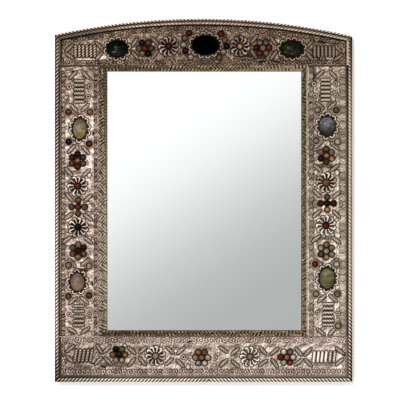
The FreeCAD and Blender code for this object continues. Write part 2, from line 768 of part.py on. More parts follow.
ROPE_HALF = "sqrt((rope_diameter / 2) ^ 2 - (rope_diameter / 2 - rope_flat) ^ 2)"
ROPE_OUTER = {
    "bottom_left": ("LEFT_EDGE", "BOTTOM_EDGE"),
    "bottom_right": ("RIGHT_EDGE", "BOTTOM_EDGE"),
    "top_left": ("LEFT_EDGE", arch_height("LEFT_EDGE", "0")),
    "top_right": ("RIGHT_EDGE", arch_height("RIGHT_EDGE", "0")),
}
ROPE_LEFT = "(LEFT_EDGE + rope_diameter)"
ROPE_RIGHT = "(RIGHT_EDGE - rope_diameter)"
ROPE_INNER = {
    "bottom_left": (ROPE_LEFT, "(BOTTOM_EDGE + rope_diameter)"),
    "bottom_right": (ROPE_RIGHT, "(BOTTOM_EDGE + rope_diameter)"),
    "top_left": (ROPE_LEFT, arch_height(ROPE_LEFT, "rope_diameter")),
    "top_right": (ROPE_RIGHT, arch_height(ROPE_RIGHT, "rope_diameter")),
}


def rope_section(sketch, middle, flat_first):
    """Round section with its flat on the sheet; flat_first puts depth on the first axis."""
    low = "(%s - %s)" % (middle, ROPE_HALF)
    high = "(%s + %s)" % (middle, ROPE_HALF)
    if flat_first:
        corners = [("-SHEET_FRONT", low), ("-SHEET_FRONT", high)]
        arcs = {1: ("-ROPE_AXIS", middle, "x", (-1, 0))}
    else:
        corners = [(low, "-SHEET_FRONT"), (high, "-SHEET_FRONT")]
        arcs = {1: (middle, "-ROPE_AXIS", "y", (0, -1))}
    outline(sketch, corners, arcs)


rope = keep(new_body("rope_bottom"))
sketch = new_sketch(rope, "rope_bottom_section", "YZ_Plane", "LEFT_EDGE")
rope_section(sketch, "(BOTTOM_EDGE + rope_diameter / 2)", True)
pad(rope, sketch, "FRAME_WIDTH")
mitre(rope, [
    corner_cut(ROPE_OUTER["bottom_left"], ROPE_INNER["bottom_left"], "left"),
    corner_cut(ROPE_OUTER["bottom_right"], ROPE_INNER["bottom_right"], "right"),
])

for side, sign in (("left", "+"), ("right", "-")):
    rope = keep(new_body("rope_" + side))
    sketch = new_sketch(rope, "rope_%s_section" % side, "XY_Plane", "BOTTOM_EDGE")
    rope_section(sketch, "(%s_EDGE %s rope_diameter / 2)" % (side.upper(), sign), False)
    corner = "top_" + side
    pad(rope, sketch, "%s - BOTTOM_EDGE" % ROPE_OUTER[corner][1])
    mitre(rope, [
        corner_cut(ROPE_OUTER["bottom_" + side], ROPE_INNER["bottom_" + side], "down"),
        corner_cut(ROPE_OUTER[corner], ROPE_INNER[corner], "up"),
    ])

rope = keep(new_body("rope_top"))
sketch = new_sketch(rope, "rope_top_section", "YZ_Plane", "-arch_shift")
sketch.setExpression("AttachmentOffset.Base.y", expand("ARCH_CENTRE"))
rope_section(sketch, "(arch_radius - rope_diameter / 2)", True)
turned_rope = rope.newObject("PartDesign::Revolution", "rope_top_turn")
turned_rope.Profile = sketch
turned_rope.ReferenceAxis = (sketch, ["H_Axis"])
turned_rope.Midplane = True
reach = "((FRAME_WIDTH / 2 + arch_shift) / (arch_radius - rope_diameter))"
turned_rope.setExpression("Angle", expand("2 * asin(%s)" % reach))
doc.recompute()
mitre(rope, [
    corner_cut(ROPE_OUTER["top_left"], ROPE_INNER["top_left"], "left"),
    corner_cut(ROPE_OUTER["top_right"], ROPE_INNER["top_right"], "right"),
])


# Glass, card and hardboard

for name, back, thickness in (
    ("mirror_glass", "GLASS_BACK", "glass_thickness"),
    ("card_filler", "CARD_BACK", "card_thickness"),
    ("backing_board", "hang_gap", "board_thickness"),
):
    body = keep(new_body(name))
    sketch = new_sketch(body, name + "_plan", "XZ_Plane", back)
    box_outline(
        sketch,
        "SIGHT_LEFT - glass_lap",
        "SIGHT_BOTTOM - glass_lap",
        "SIGHT_RIGHT + glass_lap",
        "SIGHT_TOP + glass_lap",
    )
    pad(body, sketch, thickness)


# Fittings on the stiles' backs

def screw(rise):
    """Round-headed screw; its head's underside stands at a height over the stile's back."""
    low = -size("screw_grip")
    shank = Part.makeCylinder(size("screw_shank / 2"), size(rise) - low, vector(0, 0, low))
    head_radius = size("screw_head / 2")
    cap = size("screw_cap")
    ball = (head_radius ** 2 + cap ** 2) / (2 * cap)
    head = Part.makeSphere(ball, vector(0, 0, size(rise) + cap - ball))
    head = head.common(Part.makeCylinder(head_radius, cap, vector(0, 0, size(rise))))
    slot = size("slot_width")
    cutter = Part.makeBox(2 * head_radius, slot, cap)
    cutter.translate(vector(-head_radius, -slot / 2, size(rise) + cap - size("slot_depth")))
    return shank.fuse(head).cut(cutter).removeSplitter()


BACKWARD = FreeCAD.Rotation(vector(1, 0, 0), -90)


def screws(name, rise, places):
    """Group of equal screws at places across and up the stiles' backs."""
    pattern = screw(rise)
    copies = []
    for column, height in places:
        copy = pattern.copy()
        foot = vector(size(column), -size("hang_gap"), size(height))
        copy.Placement = FreeCAD.Placement(foot, BACKWARD)
        copies.append(copy)
    return keep(add_shape(name, Part.makeCompound(copies)))


for level, height in BUTTON_ROWS.items():
    for side, column in BUTTON_COLUMNS.items():
        name = "turn_button_%s_%s" % (level, side)
        body = keep(new_body(name))
        sketch = new_sketch(body, name + "_plan", "XZ_Plane", "-lay_gap")
        half = "button_width / 2"
        far = "(button_length - button_width)"
        outline(
            sketch,
            [("0", "-" + half), (far, "-" + half), (far, half), ("0", half)],
            {1: (far, "0", "x", (1, 0)), 3: ("0", "0", "x", (-1, 0))},
        )
        circle(sketch, "0", "0", "screw_shank / 2 + fit_gap")
        pad(body, sketch, "button_thickness", True)
        flip = 0 if side == "left" else 180
        body.Placement = FreeCAD.Placement(vector(0, 0, 0), FreeCAD.Rotation(vector(0, 1, 0), flip))
        body.setExpression("Placement.Base.x", expand(column))
        body.setExpression("Placement.Base.y", expand("-hang_gap"))
        body.setExpression("Placement.Base.z", expand(height))

places = []
for height in BUTTON_ROWS.values():
    for column in BUTTON_COLUMNS.values():
        places.append((column, height))
screws("button_screws", "lay_gap + button_thickness + head_gap", places)

for side, column in HANGERS.items():
    name = "hanger_strap_" + side
    strap = keep(new_body(name))
    half = "strap_width / 2"
    low = "strap_length"
    sketch = new_sketch(strap, name + "_plan", "XZ_Plane")
    inner = "(strap_width / 2 - strap_corner)"
    bend = "(strap_length - strap_corner)"
    corners = [
        ("-" + half, "0"),
        ("-" + half, "-" + bend),
        ("-" + inner, "-" + low),
        (inner, "-" + low),
        (half, "-" + bend),
        (half, "0"),
    ]
    arcs = {
        1: ("-" + inner, "-" + bend, "x", (-1, -1)),
        3: (inner, "-" + bend, "x", (1, -1)),
    }
    outline(sketch, corners, arcs)
    pad(strap, sketch, "strap_thickness", True)
    sketch = new_sketch(strap, name + "_eye", "YZ_Plane", "-strap_width / 2")
    circle(sketch, "EYE_RISE", "0", "ring_wire / 2 + fit_gap + strap_thickness")
    circle(sketch, "EYE_RISE", "0", "ring_wire / 2 + fit_gap")
    pad(strap, sketch, "strap_width")
    sketch = new_sketch(strap, name + "_hole", "XZ_Plane")
    circle(sketch, "0", "-strap_screw", "screw_shank / 2 + fit_gap")
    pocket(strap, sketch, "strap_thickness")
    strap.setExpression("Placement.Base.x", expand(column))
    strap.setExpression("Placement.Base.y", expand("-hang_gap"))
    strap.setExpression("Placement.Base.z", expand(RING_AXIS))

    name = "hanger_ring_" + side
    ring = keep(new_body(name))
    spine = new_sketch(ring, name + "_path", "XZ_Plane")
    arm = "((ring_inside + ring_wire) / 2)"
    bend = "(%s - ring_corner)" % arm
    corners = [
        ("0", "0"),
        (bend, "0"),
        (arm, "-ring_corner"),
        (arm, "-ring_leg"),
        ("-" + arm, "-ring_leg"),
        ("-" + arm, "-ring_corner"),
        ("-" + bend, "0"),
    ]
    arcs = {
        1: (bend, "-ring_corner", "x", (1, 1)),
        3: ("0", "-ring_leg", "y", (0, -1)),
        5: ("-" + bend, "-ring_corner", "x", (-1, 1)),
    }
    outline(spine, corners, arcs)
    profile = new_sketch(ring, name + "_wire", "YZ_Plane")
    circle(profile, "0", "0", "ring_wire / 2")
    doc.recompute()
    loop = ring.newObject("PartDesign::AdditivePipe", name + "_loop")
    loop.Profile = profile
    loop.Spine = (spine, ["Edge%d" % (place + 1) for place in range(len(corners))])
    ring.setExpression("Placement.Base.x", expand(column))
    ring.setExpression("Placement.Base.y", expand("EYE_RISE - hang_gap"))
    ring.setExpression("Placement.Base.z", expand(RING_AXIS))

places = [(column, RING_AXIS + " - strap_screw") for column in HANGERS.values()]
screws("hanger_screws", "strap_thickness", places)
doc.recompute()


# Chased sheets

def plan(left, low, right, high, arch_inset=None):
    """Flat face at the wall plane, its top edge straight or arched."""
    x = (size(left), size(right))
    if arch_inset is None:
        z = (size(high), size(high))
        crown = Part.LineSegment(vector(x[1], 0, z[1]), vector(x[0], 0, z[0])).toShape()
    else:
        z = (size(arch_height(left, arch_inset)), size(arch_height(right, arch_inset)))
        top = vector(-size("arch_shift"), 0, size("APEX - (%s)" % arch_inset))
        crown = Part.Arc(vector(x[1], 0, z[1]), top, vector(x[0], 0, z[0])).toShape()
    base = size(low)
    corners = [(x[0], z[0]), (x[0], base), (x[1], base), (x[1], z[1])]
    rest = Part.makePolygon([vector(across, 0, up) for across, up in corners])
    return Part.Face(Part.Wire(rest.Edges + [crown]))


def slab(face, back, front):
    """Face made solid between two depths."""
    copy = face.copy()
    copy.translate(vector(0, -size(back), 0))
    return copy.extrude(vector(0, size(back) - size(front), 0))


def half_round(width, rise):
    """Radius of a rounded ridge's section and the height of its axis."""
    radius = ((width / 2) ** 2 + rise ** 2) / (2 * rise)
    return radius, rise - radius


def trimmed(shape, reach):
    """Keeps what stands above the middle of the sheet's thickness."""
    low = -size("sheet_gauge / 2")
    box = Part.makeBox(2 * reach, 2 * reach, reach, vector(-reach, -reach, low))
    return shape.common(box)


def ridge(length, width, rise):
    """Straight ridge with round ends, along the first axis."""
    radius, axis = half_round(width, rise)
    half = (length - width) / 2
    bar = Part.makeCylinder(radius, 2 * half, vector(-half, 0, axis), vector(1, 0, 0))
    ends = [Part.makeSphere(radius, vector(place, 0, axis)) for place in (-half, half)]
    return trimmed(bar.multiFuse(ends).removeSplitter(), length)


def hook(bend, sweep, width, rise):
    """Ridge bent about a point beside its foot, which lies at the origin."""
    radius, axis = half_round(width, rise)
    ring = Part.makeTorus(bend, radius, vector(0, 0, 0), vector(0, 0, 1), 0, 360, sweep)
    ring.rotate(vector(0, 0, 0), vector(0, 0, 1), -90)
    ring.translate(vector(0, bend, axis))
    turn = math.radians(sweep)
    tip = vector(bend * math.sin(turn), bend - bend * math.cos(turn), axis)
    ends = [Part.makeSphere(radius, vector(0, 0, axis)), Part.makeSphere(radius, tip)]
    return trimmed(ring.multiFuse(ends), 4 * bend)


BAR = ridge(size("bar_length"), size("bar_width"), size("bar_rise"))
STROKE = ridge(size("stroke_length"), size("stroke_width"), size("stroke_rise"))
PETAL = hook(size("petal_bend"), size("petal_sweep"), size("petal_width"), size("petal_rise"))
CURL = hook(size("curl_radius"), size("curl_sweep"), size("curl_width"), size("curl_rise"))


def put(pattern, point, angle, shift=(0, 0), first=0):
    """Copy of a pattern, first moved and turned in its own plane."""
    copy = pattern.copy()
    copy.rotate(vector(0, 0, 0), vector(0, 0, 1), first)
    copy.translate(vector(shift[0], shift[1], 0))
    copy.Placement = FreeCAD.Placement(point, turned(angle)).multiply(copy.Placement)
    return copy


def raised_work():
    """Every ridge of the borders with the point it stands at."""
    work = []
    for column, row, turn in BARS:
        point = on_front(column, row)
        work.append((point, put(BAR, point, turn)))
    for column, row, turn in STROKES:
        point = on_front(column, row)
        work.append((point, put(STROKE, point, turn)))
    for column, row, family in FLOWERS:
        point = on_front(column, row)
        for petal in range(PETALS):
            turn = 360 * petal / PETALS
            work.append((point, put(PETAL, point, turn, (size("petal_start"), 0))))
    for name, column, row in OVALS:
        point = on_front(column, row)
        for curl in range(CURLS):
            turn = 2 * math.pi * (curl + 1 / 2) / CURLS
            across = size(name + "_width / 2 + curl_offset") * math.cos(turn)
            up = size(name + "_height / 2 + curl_offset") * math.sin(turn)
            facing = math.degrees(math.atan2(up, across))
            spread = size("curl_radius")
            foot = (
                across + spread * math.sin(math.radians(facing)),
                up - spread * math.cos(math.radians(facing)),
            )
            work.append((point, put(CURL, point, 0, foot, facing)))
    return work


RAISED = raised_work()


def stones():
    """Round stones as family, point and kind."""
    found = []
    for column, row, family in SINGLES:
        found.append((family, on_front(column, row), "single"))
    for column, row, family in SIDE_STONES:
        found.append((family, on_front(column, row), "cluster"))
    for column, row, family in FLOWERS:
        found.append((family, on_front(column, row), "flower"))
    for column, row, first, words in ROSETTES:
        families = words.split()
        point = on_front(column, row)
        found.append((families[0], point, "cluster"))
        pitch = size("cluster_pitch")
        for place, family in enumerate(families[1:]):
            turn = math.radians(first + 60 * place)
            move = vector(pitch * math.cos(turn), 0, pitch * math.sin(turn))
            found.append((family, point + move, "cluster"))
    for column, row, words in CROSSES:
        families = words.split()
        point = on_front(column, row)
        found.append((families[0], point, "cluster"))
        pitch = size("cross_pitch")
        for place, family in enumerate(families[1:]):
            turn = math.radians(90 * place)
            move = vector(pitch * math.cos(turn), 0, pitch * math.sin(turn))
            found.append((family, point + move, "cluster"))
    return found


STONES = stones()


def clearances(box):
    """Cutters that keep the raised work off the stones of one sheet."""
    cutters = []
    front = vector(0, -1, 0)
    gap = size("stone_gap")
    depth = size("cutter_overrun")
    for family, point, kind in STONES:
        if box.isInside(point):
            radius = size(kind + "_diameter") / 2 + gap
            cutters.append(Part.makeCylinder(radius, depth, point, front))
    for name, column, row in OVALS:
        point = on_front(column, row)
        if box.isInside(point):
            width = size(name + "_width")
            height = size(name + "_height")
            long_side = max(width, height) / 2 + gap
            short_side = min(width, height) / 2 + gap
            ring = Part.Ellipse(vector(0, 0, 0), long_side, short_side).toShape()
            face = Part.Face(Part.Wire([ring]))
            cutter = face.extrude(vector(0, 0, depth))
            cutter.Placement = FreeCAD.Placement(point, turned(0 if width > height else 90))
            cutters.append(cutter)
    return cutters


def pins():
    """Feet on the sheets' folded sides and outward directions of all pins."""
    found = []
    depth = -size("PIN_DEPTH")
    left = size("LEFT_EDGE + rope_overhang")
    right = size("RIGHT_EDGE - rope_overhang")
    low = size("BOTTOM_EDGE + rope_overhang")
    for height in SIDE_PINS + [TOP_PIN, LOW_PIN]:
        found.append((vector(left, depth, size(height)), vector(-1, 0, 0)))
        found.append((vector(right, depth, size(height)), vector(1, 0, 0)))
    for column in BOTTOM_PINS:
        found.append((vector(size(column), depth, low), vector(0, 0, -1)))
    for share in (-1, 0, 1):
        turn = math.radians(size("pin_spread") * share)
        outward = vector(math.sin(turn), 0, math.cos(turn))
        centre = vector(-size("arch_shift"), depth, size("ARCH_CENTRE"))
        found.append((centre + outward * size("arch_radius - rope_overhang"), outward))
    return found


PINS = pins()


def rib(outer, inner=None):
    """Low rib over a plan, less the inner plan, rooted in the sheet's thickness."""
    crest = "SHEET_FRONT + rib_rise"
    whole = slab(outer, "SHEET_FRONT - sheet_gauge / 2", crest)
    if inner is None:
        return whole
    return whole.cut(slab(inner, "CORE_FRONT", crest + " + cutter_overrun"))


def chased_sheet(name, shell, ribs):
    """Folded sheet with its raised work, kept clear of stones and drilled for pins."""
    box = shell.BoundBox
    grown = FreeCAD.BoundBox(box)
    grown.enlarge(size("pin_cap"))
    work = [ridge_copy for point, ridge_copy in RAISED if grown.isInside(point)]
    shape = shell.multiFuse(work + ribs)
    cutters = clearances(grown)
    near = box.YMax - box.YMin
    for foot, outward in PINS:
        if grown.isInside(foot):
            radius = size("pin_shank / 2 + fit_gap")
            start = foot - outward * near
            cutters.append(Part.makeCylinder(radius, 2 * near, start, outward))
    shape = shape.cut(Part.makeCompound(cutters))
    solids = shape.Solids
    solids.sort(key=lambda solid: solid.Volume)
    return keep(add_shape(name, solids[-1]))


def folded(outer, inner):
    """Sheet over the outer plan, hollow behind over the inner plan."""
    hollow = slab(inner, "FLANGE_BACK - cutter_overrun", "CORE_FRONT")
    return slab(outer, "FLANGE_BACK", "SHEET_FRONT").cut(hollow)


SHEET_LEFT = "LEFT_EDGE + rope_overhang"
SHEET_RIGHT = "RIGHT_EDGE - rope_overhang"
RIB_LEFT = "LEFT_EDGE + rib_inset"
RIB_RIGHT = "RIGHT_EDGE - rib_inset"
RIB_LEFT_INNER = RIB_LEFT + " + rib_width"
RIB_RIGHT_INNER = RIB_RIGHT + " - rib_width"
RIB_BOTTOM = "BOTTOM_EDGE + rib_inset"
RIB_DEPTH = "rib_inset + rib_width"

shell = folded(
    plan(SHEET_LEFT, "SEAM_TOP", SHEET_RIGHT, "APEX", "rope_overhang"),
    plan("CORE_LEFT", "SEAM_TOP - cutter_overrun", "CORE_RIGHT", "APEX", "CORE_INSET"),
)
bead = rib(
    plan(RIB_LEFT, "SEAM_TOP", RIB_RIGHT, "APEX", "rib_inset"),
    plan(RIB_LEFT_INNER, "SEAM_TOP - cutter_overrun", RIB_RIGHT_INNER, "APEX", RIB_DEPTH),
)
chased_sheet("top_sheet", shell, [bead])

shell = folded(
    plan(SHEET_LEFT, "BOTTOM_EDGE + rope_overhang", SHEET_RIGHT, "SEAM_BOTTOM"),
    plan("CORE_LEFT", "CORE_BOTTOM", "CORE_RIGHT", "SEAM_BOTTOM + cutter_overrun"),
)
bead = rib(
    plan(RIB_LEFT, RIB_BOTTOM, RIB_RIGHT, "SEAM_BOTTOM"),
    plan(
        RIB_LEFT_INNER,
        RIB_BOTTOM + " + rib_width",
        RIB_RIGHT_INNER,
        "SEAM_BOTTOM + cutter_overrun",
    ),
)
chased_sheet("bottom_sheet", shell, [bead])

low = "SEAM_BOTTOM + seam_gap"
high = "SEAM_TOP - seam_gap"
far_low = "SEAM_BOTTOM - cutter_overrun"
far_high = "SEAM_TOP + cutter_overrun"
shell = folded(
    plan(SHEET_LEFT, low, "SLIP_LEFT", high),
    plan("CORE_LEFT", far_low, "SLIP_LEFT + cutter_overrun", far_high),
)
bead = rib(plan(RIB_LEFT, low, RIB_LEFT_INNER, high))
chased_sheet("left_sheet", shell, [bead])
shell = folded(
    plan("SLIP_RIGHT", low, SHEET_RIGHT, high),
    plan("SLIP_RIGHT - cutter_overrun", far_low, "CORE_RIGHT", far_high),
)
bead = rib(plan(RIB_RIGHT_INNER, low, RIB_RIGHT, high))
chased_sheet("right_sheet", shell, [bead])

nails = []
shank_length = size("pin_length + sheet_gauge - dowel_end")
for foot, outward in PINS:
    tip = foot - outward * shank_length
    shank = Part.makeCylinder(size("pin_shank / 2"), shank_length, tip, outward)
    head = Part.makeCylinder(size("pin_head / 2"), size("pin_cap"), foot, outward)
    nails.append(shank.fuse(head).removeSplitter())
keep(add_shape("edge_pins", Part.makeCompound(nails)))


# Stones

for name, column, row in OVALS:
    oval = keep(doc.addObject("Part::Ellipsoid", name))
    oval.Label = name
    oval.setExpression("Radius1", expand("oval_rise"))
    oval.setExpression("Radius2", expand(name + "_width / 2"))
    oval.setExpression("Radius3", expand(name + "_height / 2"))
    oval.Angle1 = 0
    oval.Placement = FreeCAD.Placement(vector(0, 0, 0), UPRIGHT)
    oval.setExpression("Placement.Base.x", expand(along(PICTURE_COLUMNS, column)))
    oval.setExpression("Placement.Base.y", expand("-SHEET_FRONT"))
    oval.setExpression("Placement.Base.z", expand(along(PICTURE_ROWS, row)))


def cabochon(kind):
    """Round stone with a straight foot and a domed top, standing on its foot."""
    radius = size(kind + "_diameter") / 2
    rise = size(kind + "_rise")
    foot = size("stone_girdle")
    ball = (radius ** 2 + rise ** 2) / (2 * rise)
    centre = foot + rise - ball
    half = math.asin(radius / ball) / 2
    middle = vector(ball * math.sin(half), 0, centre + ball * math.cos(half))
    corners = [(0, foot + rise), (0, 0), (radius, 0), (radius, foot)]
    base = Part.makePolygon([vector(across, 0, up) for across, up in corners])
    dome = Part.Arc(vector(radius, 0, foot), middle, vector(0, 0, foot + rise)).toShape()
    face = Part.Face(Part.Wire(base.Edges + [dome]))
    return face.revolve(vector(0, 0, 0), vector(0, 0, 1), 360)


PATTERNS = {kind: cabochon(kind) for kind in ("single", "cluster", "flower")}
for family in FAMILIES:
    copies = []
    for colour, point, kind in STONES:
        if colour == family:
            copies.append(put(PATTERNS[kind], point, 0))
    keep(add_shape(family + "_stones", Part.makeCompound(copies)))

doc.recompute()
for item in doc.Objects:
    if "Invalid" in item.State or "Error" in item.State:
        raise ValueError("not computed: " + item.Name)
for node in NODES:
    if node.Shape.isNull() or not node.Shape.isValid():
        raise ValueError("bad shape: " + node.Label)
os.makedirs("parts", exist_ok=True)
for node in NODES:
    node.Shape.exportStep("parts/%s.step" % node.Label)
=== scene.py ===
import math

import bpy
import numpy as np
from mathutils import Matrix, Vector


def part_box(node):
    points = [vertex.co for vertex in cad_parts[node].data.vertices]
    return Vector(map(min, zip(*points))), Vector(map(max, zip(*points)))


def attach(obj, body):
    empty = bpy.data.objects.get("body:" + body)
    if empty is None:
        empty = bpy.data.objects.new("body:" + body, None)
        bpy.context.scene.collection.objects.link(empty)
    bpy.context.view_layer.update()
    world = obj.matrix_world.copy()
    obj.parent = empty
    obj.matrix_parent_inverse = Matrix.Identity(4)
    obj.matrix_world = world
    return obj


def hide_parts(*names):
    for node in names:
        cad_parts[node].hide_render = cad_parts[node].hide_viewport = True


bl_info = {
    "name": "Stone-set wall mirror",
    "version": (1, 0, 0),
    "blender": (4, 5, 0),
    "location": "View3D > Sidebar > Mirror",
    "description": "Builds the chased metal, stones, glass and back of an arched wall mirror",
    "category": "Object",
}

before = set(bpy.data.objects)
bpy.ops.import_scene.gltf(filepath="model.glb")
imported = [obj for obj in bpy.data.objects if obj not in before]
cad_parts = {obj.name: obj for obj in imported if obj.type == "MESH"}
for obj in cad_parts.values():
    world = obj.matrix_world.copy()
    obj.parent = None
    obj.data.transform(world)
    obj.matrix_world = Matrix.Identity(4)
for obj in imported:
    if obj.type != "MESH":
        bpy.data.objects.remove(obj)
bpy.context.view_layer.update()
MM = 0.001


def srgb(red, green, blue):
    """Linear colour from eight-bit screen values."""
    shares = [value / 255 for value in (red, green, blue)]
    return tuple(
        share / 12.92 if share <= 0.04045 else ((share + 0.055) / 1.055) ** 2.4
        for share in shares
    )


def colour(words, values):
    """Colour property with its screen values as default."""
    return bpy.props.FloatVectorProperty(
        name=words,
        description=words,
        default=srgb(*values),
        min=0,
        max=1,
        subtype="COLOR",
    )


def length(words, value):
    """Length property, given in millimetres."""
    return bpy.props.FloatProperty(
        name=words, description=words, default=value * MM, min=0, unit="LENGTH"
    )


class MirrorSizes(bpy.types.PropertyGroup):
    grid_step: length("Spacing of the chased relief", 0.6)
    ridge_rise: length("Rise of the ribbed bars and strokes", 1.3)
    petal_rise: length("Rise of the petals", 1.2)
    curl_rise: length("Rise of the curls round the ovals", 0.9)
    groove_depth: length("Depth of the grooves", 0.35)
    rope_turn: length("Length of one full turn of the rope", 16.2)
    stone_foot: length("Straight foot of a stone", 0.8)
    rope_strands: bpy.props.IntProperty(
        name="Rope strands", description="Strands twisted into the rope", default=3, min=2
    )
    petals: bpy.props.IntProperty(
        name="Petals", description="Petals of one flower", default=11, min=3
    )
    curl_pitch: length("Spacing of the scallops round the ovals", 9.4)


class MirrorColours(bpy.types.PropertyGroup):
    recess: colour("Patina in the recesses", (18, 12, 7))
    shade: colour("Metal in shade", (72, 58, 46))
    middle: colour("Metal, middle tone", (124, 109, 97))
    light: colour("Metal, worn", (176, 162, 152))
    crest: colour("Metal, rubbed bright", (218, 208, 200))
    bevel_shade: colour("Bevel, shade", (66, 54, 38))
    bevel_middle: colour("Bevel, middle tone", (122, 110, 93))
    bevel_light: colour("Bevel, worn", (186, 174, 157))
    silver: colour("Silvering", (250, 251, 251))
    pine: colour("Pine", (203, 168, 120))
    hardboard: colour("Hardboard", (112, 82, 56))
    card: colour("Card", (176, 154, 122))
    zinc: colour("Zinc plating", (176, 174, 166))
    wall: colour("Wall and floor", (250, 250, 250))


# Lines of the frame in millimetres, from the solid pieces.

def reach(node, end, axis):
    """Lowest or highest place of a solid piece along an axis, in millimetres."""
    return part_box(node)[end][axis] / MM


LEFT_EDGE = reach("rope_left", 0, 0)
RIGHT_EDGE = reach("rope_right", 1, 0)
BOTTOM_EDGE = reach("rope_bottom", 0, 2)
APEX = reach("rope_top", 1, 2)
SLIP_LEFT = reach("bevel_left", 0, 0)
SIGHT_LEFT = reach("bevel_left", 1, 0)
SIGHT_RIGHT = reach("bevel_right", 0, 0)
SLIP_RIGHT = reach("bevel_right", 1, 0)
SEAM_BOTTOM = reach("bevel_bottom", 0, 2)
SIGHT_BOTTOM = reach("bevel_bottom", 1, 2)
SIGHT_TOP = reach("bevel_top", 0, 2)
SEAM_TOP = reach("bevel_top", 1, 2)
FRONT = reach("top_centre_oval", 1, 1)
ROPE_FRONT = reach("rope_left", 0, 1)
FLANGE_BACK = reach("left_sheet", 1, 1)
GAUGE = 0.6
BACK_POLISH = 0.35
ROPE = 6
OVERHANG = 1
SHEET_LEFT = LEFT_EDGE + OVERHANG
SHEET_RIGHT = RIGHT_EDGE - OVERHANG
SEAM_GAP = 0.3
ARCH_RADIUS = 1000
ARCH_X = -4.4
ARCH_Z = APEX - ARCH_RADIUS

PICTURE_COLUMNS = (55.2, 98.7, 107.6, 300.9, 307.3, 351.8)
PICTURE_ROWS = (19.1, 65.5, 71.9, 329.8, 335.8, 381.4)
COLUMN_LINES = (LEFT_EDGE, SLIP_LEFT, SIGHT_LEFT, SIGHT_RIGHT, SLIP_RIGHT, RIGHT_EDGE)
ROW_LINES = (APEX, SEAM_TOP, SIGHT_TOP, SIGHT_BOTTOM, SEAM_BOTTOM, BOTTOM_EDGE)


def place(column, row):
    """Point of the front, across and up in millimetres, at a column and row."""
    across = float(np.interp(column, PICTURE_COLUMNS, COLUMN_LINES))
    up = float(np.interp(row, PICTURE_ROWS, ROW_LINES))
    return across, up


def picture(x, z):
    """Column and row of points of the front."""
    column = np.interp(x, COLUMN_LINES, PICTURE_COLUMNS)
    return column, np.interp(z, ROW_LINES[::-1], PICTURE_ROWS[::-1])


def arch(x, inset):
    """Height of the arched edge, moved inward."""
    return ARCH_Z + np.sqrt((ARCH_RADIUS - inset) ** 2 - (x - ARCH_X) ** 2)


# Oval stones: column and row of the middle, width and height in millimetres.
OVALS = {
    "top_centre_oval": (205.4, 45.7, 40, 28.5),
    "top_left_oval": (117.5, 49.3, 30, 24.7),
    "top_right_oval": (291.5, 49.5, 33, 24),
    "left_upper_oval": (80.2, 129, 21, 31),
    "left_lower_oval": (77.8, 281.8, 21.7, 27),
    "right_upper_oval": (326.5, 126.3, 23.7, 29),
    "right_lower_oval": (326.7, 278, 23, 31.5),
}

# Rosettes: column, row, turn of the first outer stone, then the middle and six outer
# stones. A digit after a stone is its tone in tenths.
ROSETTES = [
    (145.3, 48.8, 0, "ruby4 olive2 olive2 garnet1 smoky2 olive6 jet0"),
    (262.6, 48.4, 0, "pearl2 garnet8 smoky2 smoky4 garnet4 ruby4 olive6"),
    (119.2, 354, 0, "jet7 amber5 olive4 jet2 amber5 pearl5 olive8"),
    (201.4, 357, 0, "amber5 pearl6 smoky2 amber6 pearl5 smoky7 smoky9"),
    (286.5, 356.6, 0, "amber5 smoky9 smoky3 pearl9 ruby5 pearl7 ruby7"),
    (78, 160.6, 30, "amber6 jet8 garnet2 jet6 amber2 garnet7 smoky1"),
    (78.5, 250.5, 30, "garnet3 garnet2 pearl2 smoky2 amber4 olive6 amber3"),
    (325.8, 155.5, 30, "amber5 smoky5 olive3 pearl2 jet6 olive1 amber7"),
    (325.8, 250.8, 30, "smoky7 pearl3 amber6 pearl5 jet9 olive8 smoky5"),
]

# Crosses: column, row, then the middle, right, upper, left and lower stones.
CROSSES = [
    (78.5, 206.9, "ruby4 olive3 olive4 smoky2 amber4"),
    (326.7, 203.4, "garnet3 garnet4 olive2 garnet5 amber7"),
]

# Pinwheel flowers: column, row, stone, its width in millimetres, its tone and the level of
# the ground.
FLOWERS = [
    (168.6, 46.9, "garnet", 8.4, 0.5, 0), (239.7, 46.9, "amber", 8, 0.74, 0),
    (78, 186, "ruby", 7.8, 0.58, 0.02), (78.5, 227.1, "jet", 9, 0.3, 0),
    (325.8, 182.6, "amber", 10.5, 0.44, 0.08), (325.4, 225.3, "garnet", 9, 0.65, 0.4),
    (155.6, 355.3, "pearl", 9, 0.48, 0.16), (249.7, 356.2, "olive", 9, 0.75, 0.4),
]

# Single round stones: column, row and stone.
SINGLES = [
    (68.9, 112.4, "amber3"), (90.3, 112.4, "amber6"), (69.1, 141.9, "jet6"),
    (89.5, 144, "garnet7"), (69, 265, "olive6"), (89.4, 265.5, "olive9"),
    (68.8, 295.9, "olive3"), (89.3, 295.1, "olive2"), (317.3, 110.3, "smoky6"),
    (335.7, 110.3, "olive5"), (315.6, 140.7, "smoky5"), (336.9, 142, "smoky8"),
    (314.7, 263.8, "ruby5"), (336.1, 263.8, "pearl7"), (315.6, 293.4, "olive9"),
    (336.9, 293.4, "smoky4"), (337.8, 325.4, "olive8"),
]

# Smaller stones beside the top centre oval.
SIDE_STONES = [
    (189.4, 33.9, "garnet4"), (184.7, 38.9, "olive4"), (183.6, 45.4, "pearl5"),
    (185.4, 51.6, "garnet3"), (190.7, 57.5, "pearl5"), (221, 34.4, "garnet6"),
    (224.8, 40.7, "amber4"), (226.6, 46.8, "jet2"), (223.2, 52.4, "pearl4"),
    (219.3, 57.9, "olive4"),
]

